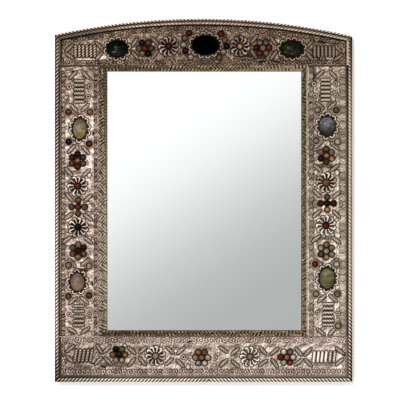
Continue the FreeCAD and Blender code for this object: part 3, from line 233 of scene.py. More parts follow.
# Ribbed bars: columns, rows, turn, half length, tone and depth of the slanting gaps.
BARS = [
    ((79.6,), (81.4, 85.5, 89.6, 93.7, 97.8, 102), 0, 8.5, 1, 0.45),
    ((79.1,), (305.7, 310.8, 316, 320.4, 324.7), 0, 8.8, 1, 0.5),
    ((325.1,), (80.2, 84.1, 88, 92.1, 96.3, 100.2), 0, 7.9, 1.05, 0.35),
    ((327.6,), (303.5, 308, 312.3, 316.3, 320.3, 324.3), 0, 9, 1.2, 0.62),
    ((75.9, 79.7, 83.5, 87.3, 91.2, 95), (51.6,), 90, 9.3, 1.25, 0.75),
    ((314.2, 318, 321.8, 325.6, 329.4, 333.2), (51.9,), 90, 8.8, 1, 0.6),
    ((76, 79.9, 83.8, 87.7, 91.6), (354.9,), 80, 10.2, 1, 0.62),
    ((313.6, 317.7, 321.5, 325.4), (356.2,), 84, 8.9, 1.4, 0.2),
    ((329.7, 333.8), (356.2,), 84, 8.9, 1.1, 0.45),
]

# Slanting strokes: column, row and turn.
STROKES = [
    (73.5, 75.5, 45), (86, 75.5, -50), (74.2, 108.3, -46), (85.6, 108, 44), (71.9, 149.2, 45),
    (86.2, 150.2, -48), (69.2, 172, -48), (86.6, 173, 44), (69.8, 197.4, -50),
    (88.2, 198.2, 44), (69.2, 216, 38), (88.4, 217.4, -38), (67.4, 239.5, 36),
    (88.6, 240.2, -38), (72.6, 262.6, -50), (85.6, 262.2, 38), (73.2, 300.4, 42),
    (84.8, 299.8, -40), (72.5, 330, -31), (85.8, 330, 38), (319.3, 74.8, 45), (332.6, 75, -47),
    (319.4, 106, -42), (331.4, 106.2, 42), (318.2, 144.6, 40), (334.2, 146, -42),
    (317.4, 168.2, -42), (334.2, 168, 40), (316.6, 193.6, -45), (336, 194.6, 42),
    (336, 214.2, -46), (316.4, 213.6, 44), (315.6, 238.6, 36), (335.6, 239.8, -38),
    (318.3, 262.4, -40), (333.4, 261.6, 40), (321.3, 298.2, 42), (332.6, 298, -41),
    (320.4, 331.3, -40), (331.8, 331, 48), (69.8, 48.6, 42), (70, 56.3, -36), (99.6, 46.4, -45),
    (99.4, 56.6, 50), (134.6, 43.4, 54), (135.4, 55.9, -48), (154.8, 41.4, -47), (155, 55, 52),
    (254.2, 39.4, 48), (253.4, 54.4, -56), (273, 41.4, -54), (273.4, 55.6, 54), (308.8, 45, 44),
    (309, 56.4, -50), (337.2, 48.8, -44), (337.8, 58, 34), (70.6, 348.2, 38), (70.6, 359, -40),
    (99.8, 348.6, -57), (107.6, 348.4, 46), (98.6, 360.4, 48), (108.4, 360.6, -45),
    (131.8, 349.8, -43), (143, 349.4, 43), (131.8, 361.8, 52), (142.4, 360.6, -50),
    (170.4, 349.8, -43), (180.8, 350.2, 41), (169, 361.4, 41), (180.2, 362.6, -46),
    (223.4, 349.2, -35), (234.9, 351, 39), (223.6, 362.2, 44), (235.4, 363.4, -42),
    (262.6, 350, -50), (274.4, 350.6, 41), (262.8, 362.4, 36), (274.4, 362.6, -53),
    (298.4, 351.2, -50), (307.6, 351.4, 50), (298.2, 361.8, 36), (307.8, 362, -47),
    (339.2, 350.2, -38), (339, 361.4, 42),
]

# Small punched figures: column, row, radius in millimetres and turn. A heart is a drop
# marked True.
RINGS = [
    (69.5, 87, 2.6), (90, 87, 2.6), (88.5, 97, 2.4), (190.5, 28.6, 2.2), (183.3, 356.7, 2.4),
    (176, 347, 2.4), (313.5, 84.5, 2.4), (335, 84, 2.4), (335.5, 96, 2.4), (314.5, 96, 2.4),
    (69.5, 314, 2.2), (89.5, 314, 2.2), (317, 312, 2.2), (337.5, 313, 2.2),
]
DROPS = [
    (66.5, 98, 2.8, 40), (70.4, 174.6, 3.2, -90), (89.5, 174.6, 3.2, -90),
    (336.5, 172.3, 3.2, -90), (188, 366.5, 3, 90), (179.5, 35.2, 3.2, 0), (217, 62, 2.6, 180),
    (113, 362.5, 2.6, 90), (125, 345, 2.6, -90), (315.5, 172.3, 3, -90),
    (89, 238.5, 4.2, -90, True), (337, 235, 4.2, -90, True),
]
HOOPS = [
    (66.5, 208, 3.6, 180), (92, 208, 3.6, 0), (315.5, 203.5, 3.6, 180), (339, 203.5, 3.6, 0),
    (190.3, 356.8, 3.6, 180), (214, 356.7, 3.6, 0), (91.8, 63.5, 3, 90), (104, 63, 3, 90),
]

WAVES = [(234.5, 252.5, 58.6), (100, 112, 62.6)]

# Wear of the plain metal along each sheet: rows or columns, then levels.
WEAR = {
    "left_sheet": ((66, 96, 125, 170, 230, 290, 336), (0.46, 0.54, 0.64, 0.59, 0.57, 0.6, 0.57)),
    "right_sheet": ((66, 110, 150, 200, 240, 290, 336), (0.55, 0.51, 0.54, 0.59, 0.65, 0.7, 0.66)),
    "top_sheet": (
        (55, 100, 150, 180, 205, 250, 300, 352), (0.54, 0.53, 0.46, 0.38, 0.36, 0.38, 0.42, 0.5),
    ),
    "bottom_sheet": (
        (55, 90, 140, 175, 230, 290, 320, 352), (0.44, 0.5, 0.57, 0.63, 0.59, 0.62, 0.68, 0.78),
    ),
}

FAMILIES = ("garnet", "ruby", "amber", "olive", "jet", "smoky", "pearl")

# Widest single and cluster stones, and how far each kind rises.
STONE_WIDTHS = {"single": 9, "cluster": 8.6}
STONE_RISES = {"single": 3, "cluster": 2.6, "flower": 3.2}
OVAL_RISE = 4.6
OVAL_FOOT = 0.4
CLUSTER_PITCH = 9.4
CROSS_PITCH = 9.7
# Rings and segments of a stone's mesh.
ROUND_MESH = (8, 28)
OVAL_MESH = (18, 64)


def round_stones():
    """Family, place, kind, width and tone of every round stone."""
    draw = np.random.default_rng(12)
    found = []

    def add(word, x, z, kind):
        width = STONE_WIDTHS[kind] * draw.uniform(0.92, 1)
        tone = int(word[-1]) / 10 + draw.uniform(-0.03, 0.03)
        found.append((word[:-1], (x, z), kind, width, tone))

    for column, row, word in SINGLES:
        add(word, *place(column, row), "single")
    for column, row, word in SIDE_STONES:
        add(word, *place(column, row), "cluster")
    for column, row, family, width, tone, _ in FLOWERS:
        found.append((family, place(column, row), "flower", width, tone))
    groups = [
        (column, row, first, 60, CLUSTER_PITCH, words)
        for column, row, first, words in ROSETTES
    ]
    groups += [(column, row, 0, 90, CROSS_PITCH, words) for column, row, words in CROSSES]
    for column, row, first, step, pitch, words in groups:
        words = words.split()
        x, z = place(column, row)
        add(words[0], x, z, "cluster")
        for count, word in enumerate(words[1:]):
            turn = math.radians(first + step * count)
            add(word, x + pitch * math.cos(turn), z + pitch * math.sin(turn), "cluster")
    return found


STONES = round_stones()


# Meshes

def put(name, data):
    """Adds an object to the scene."""
    made = bpy.data.objects.new(name, data)
    bpy.context.scene.collection.objects.link(made)
    return made


class Build:
    """Gathers the points and faces of one piece, in millimetres."""

    def __init__(self):
        self.points = []
        self.faces = []
        self.smooth = []
        self.slots = []
        self.polish = []
        self.cast = []
        self.count = 0

    def add(self, points, faces, smooth, polish, cast=0.5, slots=None):
        """Adds one closed shell and turns its faces outward."""
        points = np.asarray(points, float).reshape(-1, 3)
        middle = points.mean(0)
        volume = 0
        for size in sorted({len(face) for face in faces}):
            corners = points[[face for face in faces if len(face) == size]] - middle
            for spot in range(1, size - 1):
                turned = np.cross(corners[:, spot], corners[:, spot + 1])
                volume += np.sum(corners[:, 0] * turned)
        step = 1 if volume > 0 else -1
        self.faces += [[int(corner) + self.count for corner in face[::step]] for face in faces]
        self.points.append(points)
        self.smooth += list(smooth)
        self.slots += list(slots) if slots is not None else [0] * len(faces)
        for values, store in ((polish, self.polish), (cast, self.cast)):
            store.append(np.broadcast_to(np.ravel(values), len(points)).astype(float))
        self.count += len(points)

    def make(self, name, materials, stands_for, body="frame"):
        """Makes the object, which stands for solid pieces and rides on their body."""
        points = np.concatenate(self.points) * MM
        mesh = bpy.data.meshes.new(name)
        mesh.from_pydata(points.tolist(), [], self.faces)
        mesh.polygons.foreach_set("use_smooth", self.smooth)
        mesh.polygons.foreach_set("material_index", self.slots)
        for name_of, values in (("polish", self.polish), ("cast", self.cast)):
            layer = mesh.attributes.new(name_of, "FLOAT", "POINT")
            layer.data.foreach_set("value", np.concatenate(values).astype(np.float32))
        for item in materials:
            mesh.materials.append(item)
        mesh.update()
        piece = put(name, mesh)
        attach(piece, body)
        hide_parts(*stands_for)


def grid_faces(rows, columns):
    """Quads of a grid whose points run row by row."""
    index = np.arange(rows * columns).reshape(rows, columns)
    quads = np.stack([index[:-1, :-1], index[1:, :-1], index[1:, 1:], index[:-1, 1:]], -1)
    return quads.reshape(-1, 4)


def border(rows, columns):
    """Points round the border of a grid, in order."""
    index = np.arange(rows * columns).reshape(rows, columns)
    around = list(index[:, 0]) + list(index[-1, 1:]) + list(index[-2::-1, -1])
    return around + list(index[0, -2:0:-1])


def plate(build, front, back, polish, cast=0.5, flat=True):
    """Closed plate from a front grid and a back grid; a flat back is made one face."""
    rows, columns = front.shape[:2]
    points = front.reshape(-1, 3)
    around = border(rows, columns)
    quads = grid_faces(rows, columns)
    total = len(points)
    if flat:
        behind = back.reshape(-1, 3)[around]
        spots = [total + count for count in range(len(around))]
        rear = [spots[::-1]]
    else:
        behind = back.reshape(-1, 3)
        spots = [total + int(corner) for corner in around]
        rear = (quads[:, ::-1] + total).tolist()
    faces = quads.tolist()
    for count, corner in enumerate(around):
        following = (count + 1) % len(around)
        faces.append([corner, spots[count], spots[following], around[following]])
    faces += rear
    smooth = [True] * len(quads) + [False] * (len(faces) - len(quads))
    size = len(behind)
    shade = np.append(np.ravel(polish), np.full(size, BACK_POLISH))
    hue = np.append(np.broadcast_to(np.ravel(cast), total), np.full(size, 0.5))
    build.add(np.concatenate([points, behind]), faces, smooth, shade, hue)


# Chased relief

def smooth_step(value):
    """Zero to one with soft ends."""
    value = np.clip(value, 0, 1)
    return value * value * (3 - 2 * value)


def beat(run, pitch):
    """Wave between minus one and one that repeats at each pitch."""
    return np.cos(2 * math.pi * run / pitch)


def within(distance, near, far):
    return (distance > near) & (distance < far)


def ripple(x, z, seed, shortest, longest, waves=14):
    """Soft random surface between about minus one and one."""
    draw = np.random.default_rng(seed)
    total = np.zeros_like(x)
    for _ in range(waves):
        wave = 2 * math.pi / draw.uniform(shortest, longest)
        turn = draw.uniform(0, 2 * math.pi)
        total += np.sin(wave * (x * math.cos(turn) + z * math.sin(turn)) + draw.uniform(0, 7))
    return total / math.sqrt(waves)


class Relief:
    """Height and polish of chased sheet at points across and up, in millimetres."""

    def __init__(self, x, z, level):
        self.x = x.ravel()
        self.z = z.ravel()
        self.height = np.zeros(self.x.shape)
        self.level = level(self.x, self.z)
        self.polish = self.level.copy()
        self.cast = np.full(self.x.shape, 0.5)

    def near(self, x, z, span):
        return np.nonzero((abs(self.x - x) < span) & (abs(self.z - z) < span))[0]

    def local(self, where, x, z, turn=0):
        """Places along and across a direction from a point."""
        angle = math.radians(turn)
        across = self.x[where] - x
        up = self.z[where] - z
        along = across * math.cos(angle) + up * math.sin(angle)
        return along, up * math.cos(angle) - across * math.sin(angle)

    def around(self, column, row, span, turn=0):
        """Points near a column and row, with their places along and across a direction."""
        x, z = place(column, row)
        where = self.near(x, z, span)
        return (where, *self.local(where, x, z, turn))

    def lay(self, where, height, polish, cover):
        self.height[where] += (height - self.height[where]) * cover
        self.polish[where] += (polish - self.polish[where]) * cover

    def stamp(self, where, gap, half, rise, outline, tone=0.95):
        """Rounded ridge in a dark groove; gap is the distance outside its edge."""
        groove = -sizes().groove_depth / MM
        core = np.clip(-gap / half, 0, 1)
        height = np.where(gap < 0, rise * np.sqrt(core * (2 - core)), groove)
        tone = tone * (0.58 + 0.46 * self.level[where])
        polish = np.where(gap < 0, tone * (0.5 + 0.5 * np.sqrt(core)), 0)
        self.lay(where, height, polish, smooth_step((outline - gap) / 0.6 + 0.5))


def sizes():
    return bpy.context.scene.mirror_sizes


def colours():
    return bpy.context.scene.mirror_colours


# Reach of small figures, then strokes, bars and their beads, petals and the feet of
# scallops, in millimetres.
FIGURE_SPAN = 13
STROKE_LONG = 8.4
STROKE_WIDE = 2.3
STROKE_BEAD = 3.1
BAR_WIDE = 2.15
BAR_BEAD = 3.9
BEAD_SLANT = 0.9
FLOWER_SPAN = 19
FLOWER_GROUND = 12.4
PETAL_START = 6.2
PETAL_BEND = (11.3, 12.3)
HOOK_RADIUS = 1.9
HOOK_SWEEP = 140
SCALLOP_FOOT = 1.4

SUNK = -0.3
EVERY = slice(None)


def lay_stroke(relief, column, row, turn):
    """Lens-shaped stroke with a beaded middle."""
    where, along, across = relief.around(column, row, FIGURE_SPAN, turn)
    share = np.clip(abs(along) / STROKE_LONG, 0, 1)
    gap = abs(across) - STROKE_WIDE * np.sqrt(1 - share ** 2.6)
    beyond = np.hypot(along - np.sign(along) * STROKE_LONG, across)
    gap = np.where(abs(along) > STROKE_LONG, beyond, gap)
    beads = beat(along + BEAD_SLANT * across, STROKE_BEAD)
    core = smooth_step((-gap - 0.55) / 0.5)
    tone = 0.98 - 0.62 * core * smooth_step(0.5 - beads)
    relief.stamp(where, gap, STROKE_WIDE, 0.9 * sizes().ridge_rise / MM, 1.15, tone)


def lay_bar(relief, column, row, turn, long, strength, cut):
    """Rounded bar cut by slanting gaps."""
    where, along, across = relief.around(column, row, FIGURE_SPAN, turn)
    beyond = np.clip(abs(along) - long + BAR_WIDE, 0, None)
    gap = np.hypot(across, beyond) - BAR_WIDE
    beads = beat(along + BEAD_SLANT * across, BAR_BEAD)
    tone = strength * (0.95 - cut * smooth_step(0.3 - 1.2 * beads))
    rise = sizes().ridge_rise / MM * (0.85 + 0.15 * beads)
    relief.stamp(where, gap, BAR_WIDE, rise, 0.9, tone)


def hook_distance(along, across, bend):
    """Distance to a straight line that ends in a hook to the left."""
    straight = np.hypot(along - np.clip(along, PETAL_START, bend), across)
    up = across - HOOK_RADIUS
    angle = np.degrees(np.arctan2(along - bend, -up)) % 360
    tip = math.radians(HOOK_SWEEP)
    tip_along = bend + HOOK_RADIUS * math.sin(tip)
    tip_across = HOOK_RADIUS - HOOK_RADIUS * math.cos(tip)
    to_tip = np.hypot(along - tip_along, across - tip_across)
    curve = abs(np.hypot(along - bend, up) - HOOK_RADIUS)
    return np.minimum(straight, np.where(angle < HOOK_SWEEP, curve, to_tip))


def lay_flower(relief, column, row, ground):
    """Pinwheel of hooked petals on its ground."""
    where, across, up = relief.around(column, row, FLOWER_SPAN)
    span = np.hypot(across, up)
    relief.lay(where, SUNK, ground, smooth_step((FLOWER_GROUND - span) / 1.5))
    petals = sizes().petals
    draw = np.random.default_rng(int(column * 10 + row))
    half = 0.8 + 0.65 * smooth_step((span - 6) / 7)
    for petal in range(petals):
        turn = 360 * petal / petals + 8 + draw.uniform(-3, 3)
        along, across = relief.local(where, *place(column, row), turn)
        gap = hook_distance(along, across, draw.uniform(*PETAL_BEND)) - half
        tone = draw.uniform(0.8, 1.2) * (1 + 0.45 * ground)
        relief.stamp(where, gap, half, sizes().petal_rise / MM, 0.9, tone)


def lay_oval(relief, name):
    """Lace of open scallops round an oval stone, in a dark sunk ring painted as its shadow."""
    column, row, width, height = OVALS[name]
    where, across, up = relief.around(column, row, max(width, height) / 2 + 10)
    if not len(where):
        return
    ratio = np.hypot(across / (width / 2), up / (height / 2))
    gap = (ratio - 1) * min(width, height) / 2
    # Painted shadow: a dark ring round the stone.
    relief.lay(where, SUNK, 0.08, smooth_step((3 - gap) / 1.2))
    x, z = place(column, row)
    wide, high = width / 2 + SCALLOP_FOOT, height / 2 + SCALLOP_FOOT
    around = np.linspace(0, 2 * math.pi, 721)
    edge = np.stack([wide * np.cos(around), high * np.sin(around)], -1)
    run = np.concatenate([[0], np.cumsum(np.linalg.norm(np.diff(edge, axis=0), axis=1))])
    curls = round(run[-1] / sizes().curl_pitch * MM)
    for curl in range(curls):
        turn = np.interp((curl + 0.35) / curls * run[-1], run, around)
        foot = (x + wide * math.cos(turn), z + high * math.sin(turn))
        facing = math.degrees(math.atan2(math.sin(turn) / height, math.cos(turn) / width))
        spot = relief.near(*foot, 9)
        along, side = relief.local(spot, *foot, facing - 20)
        rim = abs(np.hypot(along / 3.7, side / 3.4) - 1) * 3.5 - 1
        rim = np.where(along < -0.8, np.maximum(rim, -0.8 - along), rim)
        relief.stamp(spot, rim, 1, sizes().curl_rise / MM, 1, 1.08)
    # Painted shadow, darkest next to the stone.
    relief.lay(where, SUNK, 0, smooth_step((1.3 - gap) / 0.6))


def lay_setting(relief, x, z, kind, radius):
    """Seat of a round stone, ringed where the stone stands alone."""
    where = relief.near(x, z, radius + 5)
    span = np.hypot(*relief.local(where, x, z)) - radius
    if kind == "single":
        relief.stamp(where, abs(span - 1.7) - 0.6, 0.6, 0.4, 0.5, 0.85)
    relief.lay(where, -0.2, 0, smooth_step((1.4 - span) / 0.7))


def lay_ring(relief, column, row, radius):
    """Punched ring."""
    where, across, up = relief.around(column, row, radius + 4)
    span = np.hypot(across, up)
    relief.stamp(where, abs(span - radius) - 0.8, 0.8, 0.5, 0.9)
    relief.lay(where, -0.2, 0.05, smooth_step((radius - 1.4 - span) / 0.5))


def lay_wave(relief, first, last, row):
    """Raised wavy line between two columns."""
    start, z = place(first, row)
    end, _ = place(last, row)
    middle, half = (start + end) / 2, (end - start) / 2
    where = relief.near(middle, z, half + 4)
    x = relief.x[where]
    line = z + 0.8 * np.sin(2 * math.pi * (x - start) / 13)
    beyond = np.clip(abs(x - middle) - half, 0, None)
    gap = np.hypot(relief.z[where] - line, beyond) - 0.95
    relief.stamp(where, gap, 0.95, 0.7, 1)


def lay_drop(relief, column, row, radius, turn, heart=False):
    """Drop or heart outlined by a groove, pointing along its turn."""
    where, along, across = relief.around(column, row, radius * 2 + 4, turn)
    angle = abs(np.arctan2(across, along))
    edge = radius * (1 + 0.55 * np.exp(-((angle / 0.45) ** 2)))
    if heart:
        edge = edge * (1 - 0.4 * np.exp(-(((math.pi - angle) / 0.5) ** 2)))
    gap = np.hypot(along, across) - edge
    tone = relief.level[where] + 0.15 + 0.2 * beat(along, 2.2)
    relief.lay(where, 0.35, tone, smooth_step(-gap / 0.7 + 0.5))
    relief.lay(where, SUNK, 0.02, smooth_step((0.75 - abs(gap - 0.3)) / 0.5))


def lay_hoop(relief, column, row, radius, turn):
    """Part of a ring, open behind."""
    where, along, across = relief.around(column, row, radius + 4, turn)
    gap = abs(np.hypot(along, across) - radius) - 0.85
    gap = np.where(along < -radius * 0.3, gap + 3, gap)
    relief.stamp(where, gap, 0.85, 0.6, 0.9, 0.9)


def lay_dent(relief, column, row, long, wide, turn):
    """Dark dent."""
    where, along, across = relief.around(column, row, long + wide + 2, turn)
    gap = np.hypot(np.clip(abs(along) - long, 0, None), across) - wide
    relief.lay(where, -0.35, 0, smooth_step(0.7 - gap / 1.2))


def scroll_band(
    relief, mask, along, across, half, pitch, seed, level, force=0.4, even=False, hue=-0.18,
    rings=False,
):
    """Running scrolls or ringed discs in a band, worn unevenly; across is zero mid band."""
    draw = np.random.default_rng(seed)
    where = np.nonzero(mask)[0]
    s = along[where]
    t = across[where]
    cell = np.floor(s / pitch)
    index = (cell - cell.min()).astype(int)
    shift, bias, start, grip = (
        draw.uniform(low, high, int(index.max()) + 1)[index]
        for low, high in ((-0.12, 0.12), (-0.1, 0.1), (0, 1), (0.55, 1))
    )
    side = np.where(cell % 2 == 0, 1, -1)
    u = s - (cell + 0.5 + shift) * pitch
    v = t * side - 0.12 * half
    if even:
        start, grip, v = 0.5, 0.5 + 0.5 * grip, t
    stem = beat(t + 0.45 * half * np.sin(math.pi * s / pitch), 3.4)
    if rings:
        span = np.hypot(u, t + 0.1 * half)
        rim = 0.48 * pitch
        inner = np.exp(-((span - 0.5 * rim) / 0.6) ** 2) * (u * side < 0)
        figure = 0.5 - 1.6 * np.exp(-((span - rim) / 0.65) ** 2) - 0.7 * inner
        cover = smooth_step((rim + 1 - span) / 0.7)
        stem = stem * 0.4
    else:
        span = np.hypot(u, v)
        turn = np.arctan2(v, u)
        figure = np.cos(2 * math.pi * (span / 2.8 - turn / (2 * math.pi) + start))
        cover = smooth_step((min(pitch / 2, half) + 0.4 - span) / 0.8)
    rough = ripple(relief.x[where], relief.z[where], seed + 40, 2, 4.5)
    pattern = grip * (figure * cover + stem * (1 - cover)) + 0.45 * rough
    edge = smooth_step((half - abs(t)) / 0.8)
    tone = level * (0.4 + relief.level[where]) + bias + force * pattern
    relief.lay(where, 0.2 * pattern, tone, edge)
    relief.cast[where] += hue * edge


def worn(name):
    """Level of wear over a sheet."""
    return lambda x, z: np.interp(picture(x, z)[name in SIDE_SHEETS], *WEAR[name])


# Side sheets: the bands beside the rope and beside the bevel with near and far limit, pitch
# and level, then force and hue of both, seed and tone.
SIDE_SHEETS = {
    "left_sheet": (((9.9, 16.4, 7.6, 0.4), (0.8, 7.4, 8.4, 0.32)), 0.34, -0.18, 3, (1.01, 1, 1)),
    "right_sheet": (((9.9, 20.4, 11, 0.52), (1.4, 10, 8.8, 0.39)), 0.27, 0.08, 5, (1, 1, 0.99)),
}
SIDE_STEPS = 160
SIDE_ROWS = 12
DEEPEST = -0.45
HIGHEST = 1.4


def finish_sheet(name, x, z, relief, sides, tone):
    """Makes a sheet from its relief and its folded sides."""
    build = Build()
    front_plate(build, x, z, relief)
    for line, inward, seed in sides:
        side_strip(build, line, inward, seed)
    build.make(name + "_chased", [tin_material(name, tone)], [name])


def end_sides(low, highs, seed):
    """Folded left and right ends of the top or bottom sheet."""
    edges = ((SHEET_LEFT, 1), (SHEET_RIGHT, -1))
    return [
        (upright_line(edge, low, high), (way, 0, 0), seed)
        for (edge, way), high in zip(edges, highs)
    ]


def side_sheet(name):
    """Left or right sheet between the seams, with discs beside the rope and the bevel."""
    bands, force, hue, seed, tone = SIDE_SHEETS[name]
    is_left = name == "left_sheet"
    outer, inner, way = (LEFT_EDGE, SLIP_LEFT, 1) if is_left else (RIGHT_EDGE, SLIP_RIGHT, -1)
    edge = SHEET_LEFT if is_left else SHEET_RIGHT
    low, high = SEAM_BOTTOM + SEAM_GAP, SEAM_TOP - SEAM_GAP
    x, z = sheet_grid(min(edge, inner), max(edge, inner), low, high)
    relief = Relief(x, z, worn(name))
    inset = way * (relief.x - outer)
    lay_common(relief, inset, seed, name)
    distances = (inset, way * (inner - relief.x))
    for count, (distance, (near, far, pitch, level)) in enumerate(zip(distances, bands)):
        scroll_band(
            relief, within(distance, near, far), relief.z, distance - (far + near) / 2,
            (far - near) / 2, pitch, 11 + count, level, force, hue=hue, rings=True,
        )
    lay_motifs(relief)
    relief.lay(EVERY, -0.35, 0, smooth_step((relief.z - high + 2.2) / 0.5))
    sides = [(upright_line(edge, low, high), (way, 0, 0), 21)]
    finish_sheet(name, x, z, relief, sides, tone)


def top_sheet():
    """Sheet under the arch, with a second twisted line below the rope."""
    x, z = sheet_grid(SHEET_LEFT, SHEET_RIGHT, SEAM_TOP, lambda across: arch(across, OVERHANG))
    relief = Relief(x, z, worn("top_sheet"))
    below = ARCH_RADIUS - np.hypot(relief.x - ARCH_X, relief.z - ARCH_Z)
    beside = np.minimum(relief.x - LEFT_EDGE, RIGHT_EDGE - relief.x)
    bright = lay_common(relief, np.minimum(below, beside), 7, "top_sheet")
    run = ARCH_RADIUS * np.arctan2(relief.x - ARCH_X, relief.z - ARCH_Z)
    spot = run + np.where(run < 0, -1.2, 1.2) * (below - 6)
    strand = beat(spot, sizes().rope_turn / MM / sizes().rope_strands)
    cover = smooth_step((8.8 - below) / 0.5) * (beside > 6)
    # The second twisted line takes the painted shade along the edge too.
    relief.lay(EVERY, 0.7, (0.64 + 0.28 * strand) * bright, cover)
    mask = within(beside, 10.4, 16) & (below > 12)
    scroll_band(relief, mask, relief.z, beside - 13, 3.1, 6.2, 15, 0.4)
    mask = within(below, 11.3, 19) & (beside > 10.4)
    scroll_band(relief, mask, run, below - 14.8, 4.1, 8.2, 13, 0.36)
    rise = relief.z - SEAM_TOP
    mask = within(rise, 0.4, 8.4) & (beside > 9.9)
    scroll_band(relief, mask, relief.x, rise - 4.4, 4, 8, 14, 0.36)
    lay_motifs(relief)
    across = np.linspace(SHEET_LEFT, SHEET_RIGHT, SIDE_STEPS)
    crown = np.stack([across, across * 0, arch(across, OVERHANG)], -1)
    inward = np.stack([ARCH_X - across, across * 0, ARCH_Z - crown[:, 2]], -1)
    inward /= np.linalg.norm(inward, axis=1)[:, None]
    highs = [float(arch(edge, OVERHANG)) for edge in (SHEET_LEFT, SHEET_RIGHT)]
    sides = [(crown, inward, 23)] + end_sides(SEAM_TOP, highs, 25)
    finish_sheet("top_sheet", x, z, relief, sides, (0.86, 0.834, 0.79))


def bottom_sheet():
    """Sheet below the glass, with even scrolls beside the rope."""
    low = BOTTOM_EDGE + OVERHANG
    x, z = sheet_grid(SHEET_LEFT, SHEET_RIGHT, low, SEAM_BOTTOM)
    relief = Relief(x, z, worn("bottom_sheet"))
    beside = np.minimum(relief.x - LEFT_EDGE, RIGHT_EDGE - relief.x)
    above = relief.z - BOTTOM_EDGE
    lay_common(relief, np.minimum(above, beside), 9, "bottom_sheet")
    mask = within(beside, 9.9, 16) & (above > 12)
    scroll_band(relief, mask, relief.z, beside - 13, 3.1, 6.2, 18, 0.4)
    mask = within(above, 10.6, 20.4) & (beside > 10.4)
    scroll_band(relief, mask, relief.x, above - 15.6, 4.8, 7.6, 16, 0.42, even=True, hue=0)
    drop = SEAM_BOTTOM - relief.z
    mask = within(drop, 1, 10.6) & (beside > 9.9)
    scroll_band(relief, mask, relief.x, drop - 5.8, 4.8, 9.2, 17, 0.5)
    lay_motifs(relief)
    seam = np.interp(relief.x, (SLIP_LEFT - 2, SLIP_LEFT + 10), (0.7, 0.4))
    relief.lay(EVERY, 0.3, seam, smooth_step((1.5 - drop) / 0.6))
    across = np.linspace(SHEET_LEFT, SHEET_RIGHT, SIDE_STEPS)
    foot = np.stack([across, across * 0, across * 0 + low], -1)
    sides = [(foot, np.tile((0, 0, 1), (SIDE_STEPS, 1)), 27)]
    sides += end_sides(low, (SEAM_BOTTOM, SEAM_BOTTOM), 29)
    finish_sheet("bottom_sheet", x, z, relief, sides, (1, 1, 1))


# Lighter and darker places: column, row, half length, half width, turn and level; the dark
# ones by the top corners are painted shade.
PATCHES_AND_CORNER_SHADE = [
    (90.6, 161, 15, 2.4, 90, 0.8), (90.6, 185, 4, 2.2, 90, 0.75), (86, 60.3, 12, 1.6, 0, 0.95),
    (76, 114, 8, 2.5, 0, 0.34), (68, 100, 5, 3, 90, 0.36), (73, 140, 3, 4, 0, 0.3),
    (87, 209, 4, 3, 90, 0.36), (86, 273, 7, 2.5, 90, 0.28), (87, 298, 4, 3, 0, 0.85),
    (314, 76, 10, 3, 90, 0.32), (324, 238, 7, 3, 0, 0.36), (328, 140, 5, 3, 0, 0.36),
    (341, 290, 14, 2, 90, 0.85), (338, 326, 4, 3, 0, 0.85), (62, 44, 6, 5, 90, 0.14),
    (82, 38, 12, 3.5, 17, 0.24), (105, 34, 8, 3, 14, 0.18), (316, 41, 9, 3, -14, 0.22),
    (84, 366, 9, 2.5, 0, 0.32), (331, 345, 6, 2, 0, 0.5), (286, 340.5, 7, 2.4, 0, 1),
    (254, 340.5, 4, 2.4, 0, 0.9), (189, 340.5, 4, 2.4, 0, 0.9), (331, 360, 4, 4, 90, 0.85),
    (178, 350, 4, 3, 0, 0.9), (205, 348, 8, 2, 0, 0.4), (87, 36.5, 42, 1.5, 10, 0.06),
    (250, 57, 20, 4, 0, 0.12), (156, 57, 7, 3, 0, 0.6), (102, 58, 7, 2.5, 0, 0.9),
    (81, 269.5, 8, 2.5, 0, 0.14), (76, 172, 6, 3, 0, 0.4), (90, 108, 4, 3, 90, 0.8),
    (66, 269, 5, 2, 90, 0.75), (324, 166, 9, 3.5, 0, 0.28), (342, 117, 7, 3, 90, 0.36),
    (334, 124, 6, 2.5, 90, 0.8), (338, 80, 5, 2, 90, 0.6), (337, 195, 34, 1.6, 90, 0.7),
    (337, 277, 9, 2, 90, 0.85), (117, 364, 20, 3.5, 0, 0.34), (323, 363, 12, 3.5, 0, 0.42),
    (194, 347, 9, 3, 0, 0.46), (227, 346, 6, 2.5, 0, 0.46),
]

# Dark dents: column, row, half length, half width and turn.
DENTS = [
    (262, 62.2, 4, 0.9, 8), (276, 62.2, 5, 0.9, -14), (321, 42.4, 4.5, 0.7, -6),
    (310, 42.4, 2, 1, 30), (333, 44.4, 2, 0.6, -20), (318.5, 60, 1.6, 0.8, 60),
    (325.5, 60.4, 1.6, 0.8, -60), (309.8, 103, 1.6, 1, 60), (318, 108, 2, 1, -40),
    (330.5, 107.5, 2, 0.8, 30), (313.4, 77, 3.4, 0.9, 80), (62.6, 108, 1.6, 1, 90),
    (93.6, 134, 2, 1, 90), (70, 128, 2, 1, 80), (92.6, 283, 2.4, 1, 100),
    (189.8, 341, 3, 0.8, 10), (94, 362.5, 3, 0.9, 10), (103.4, 366, 3, 0.9, -20),
]

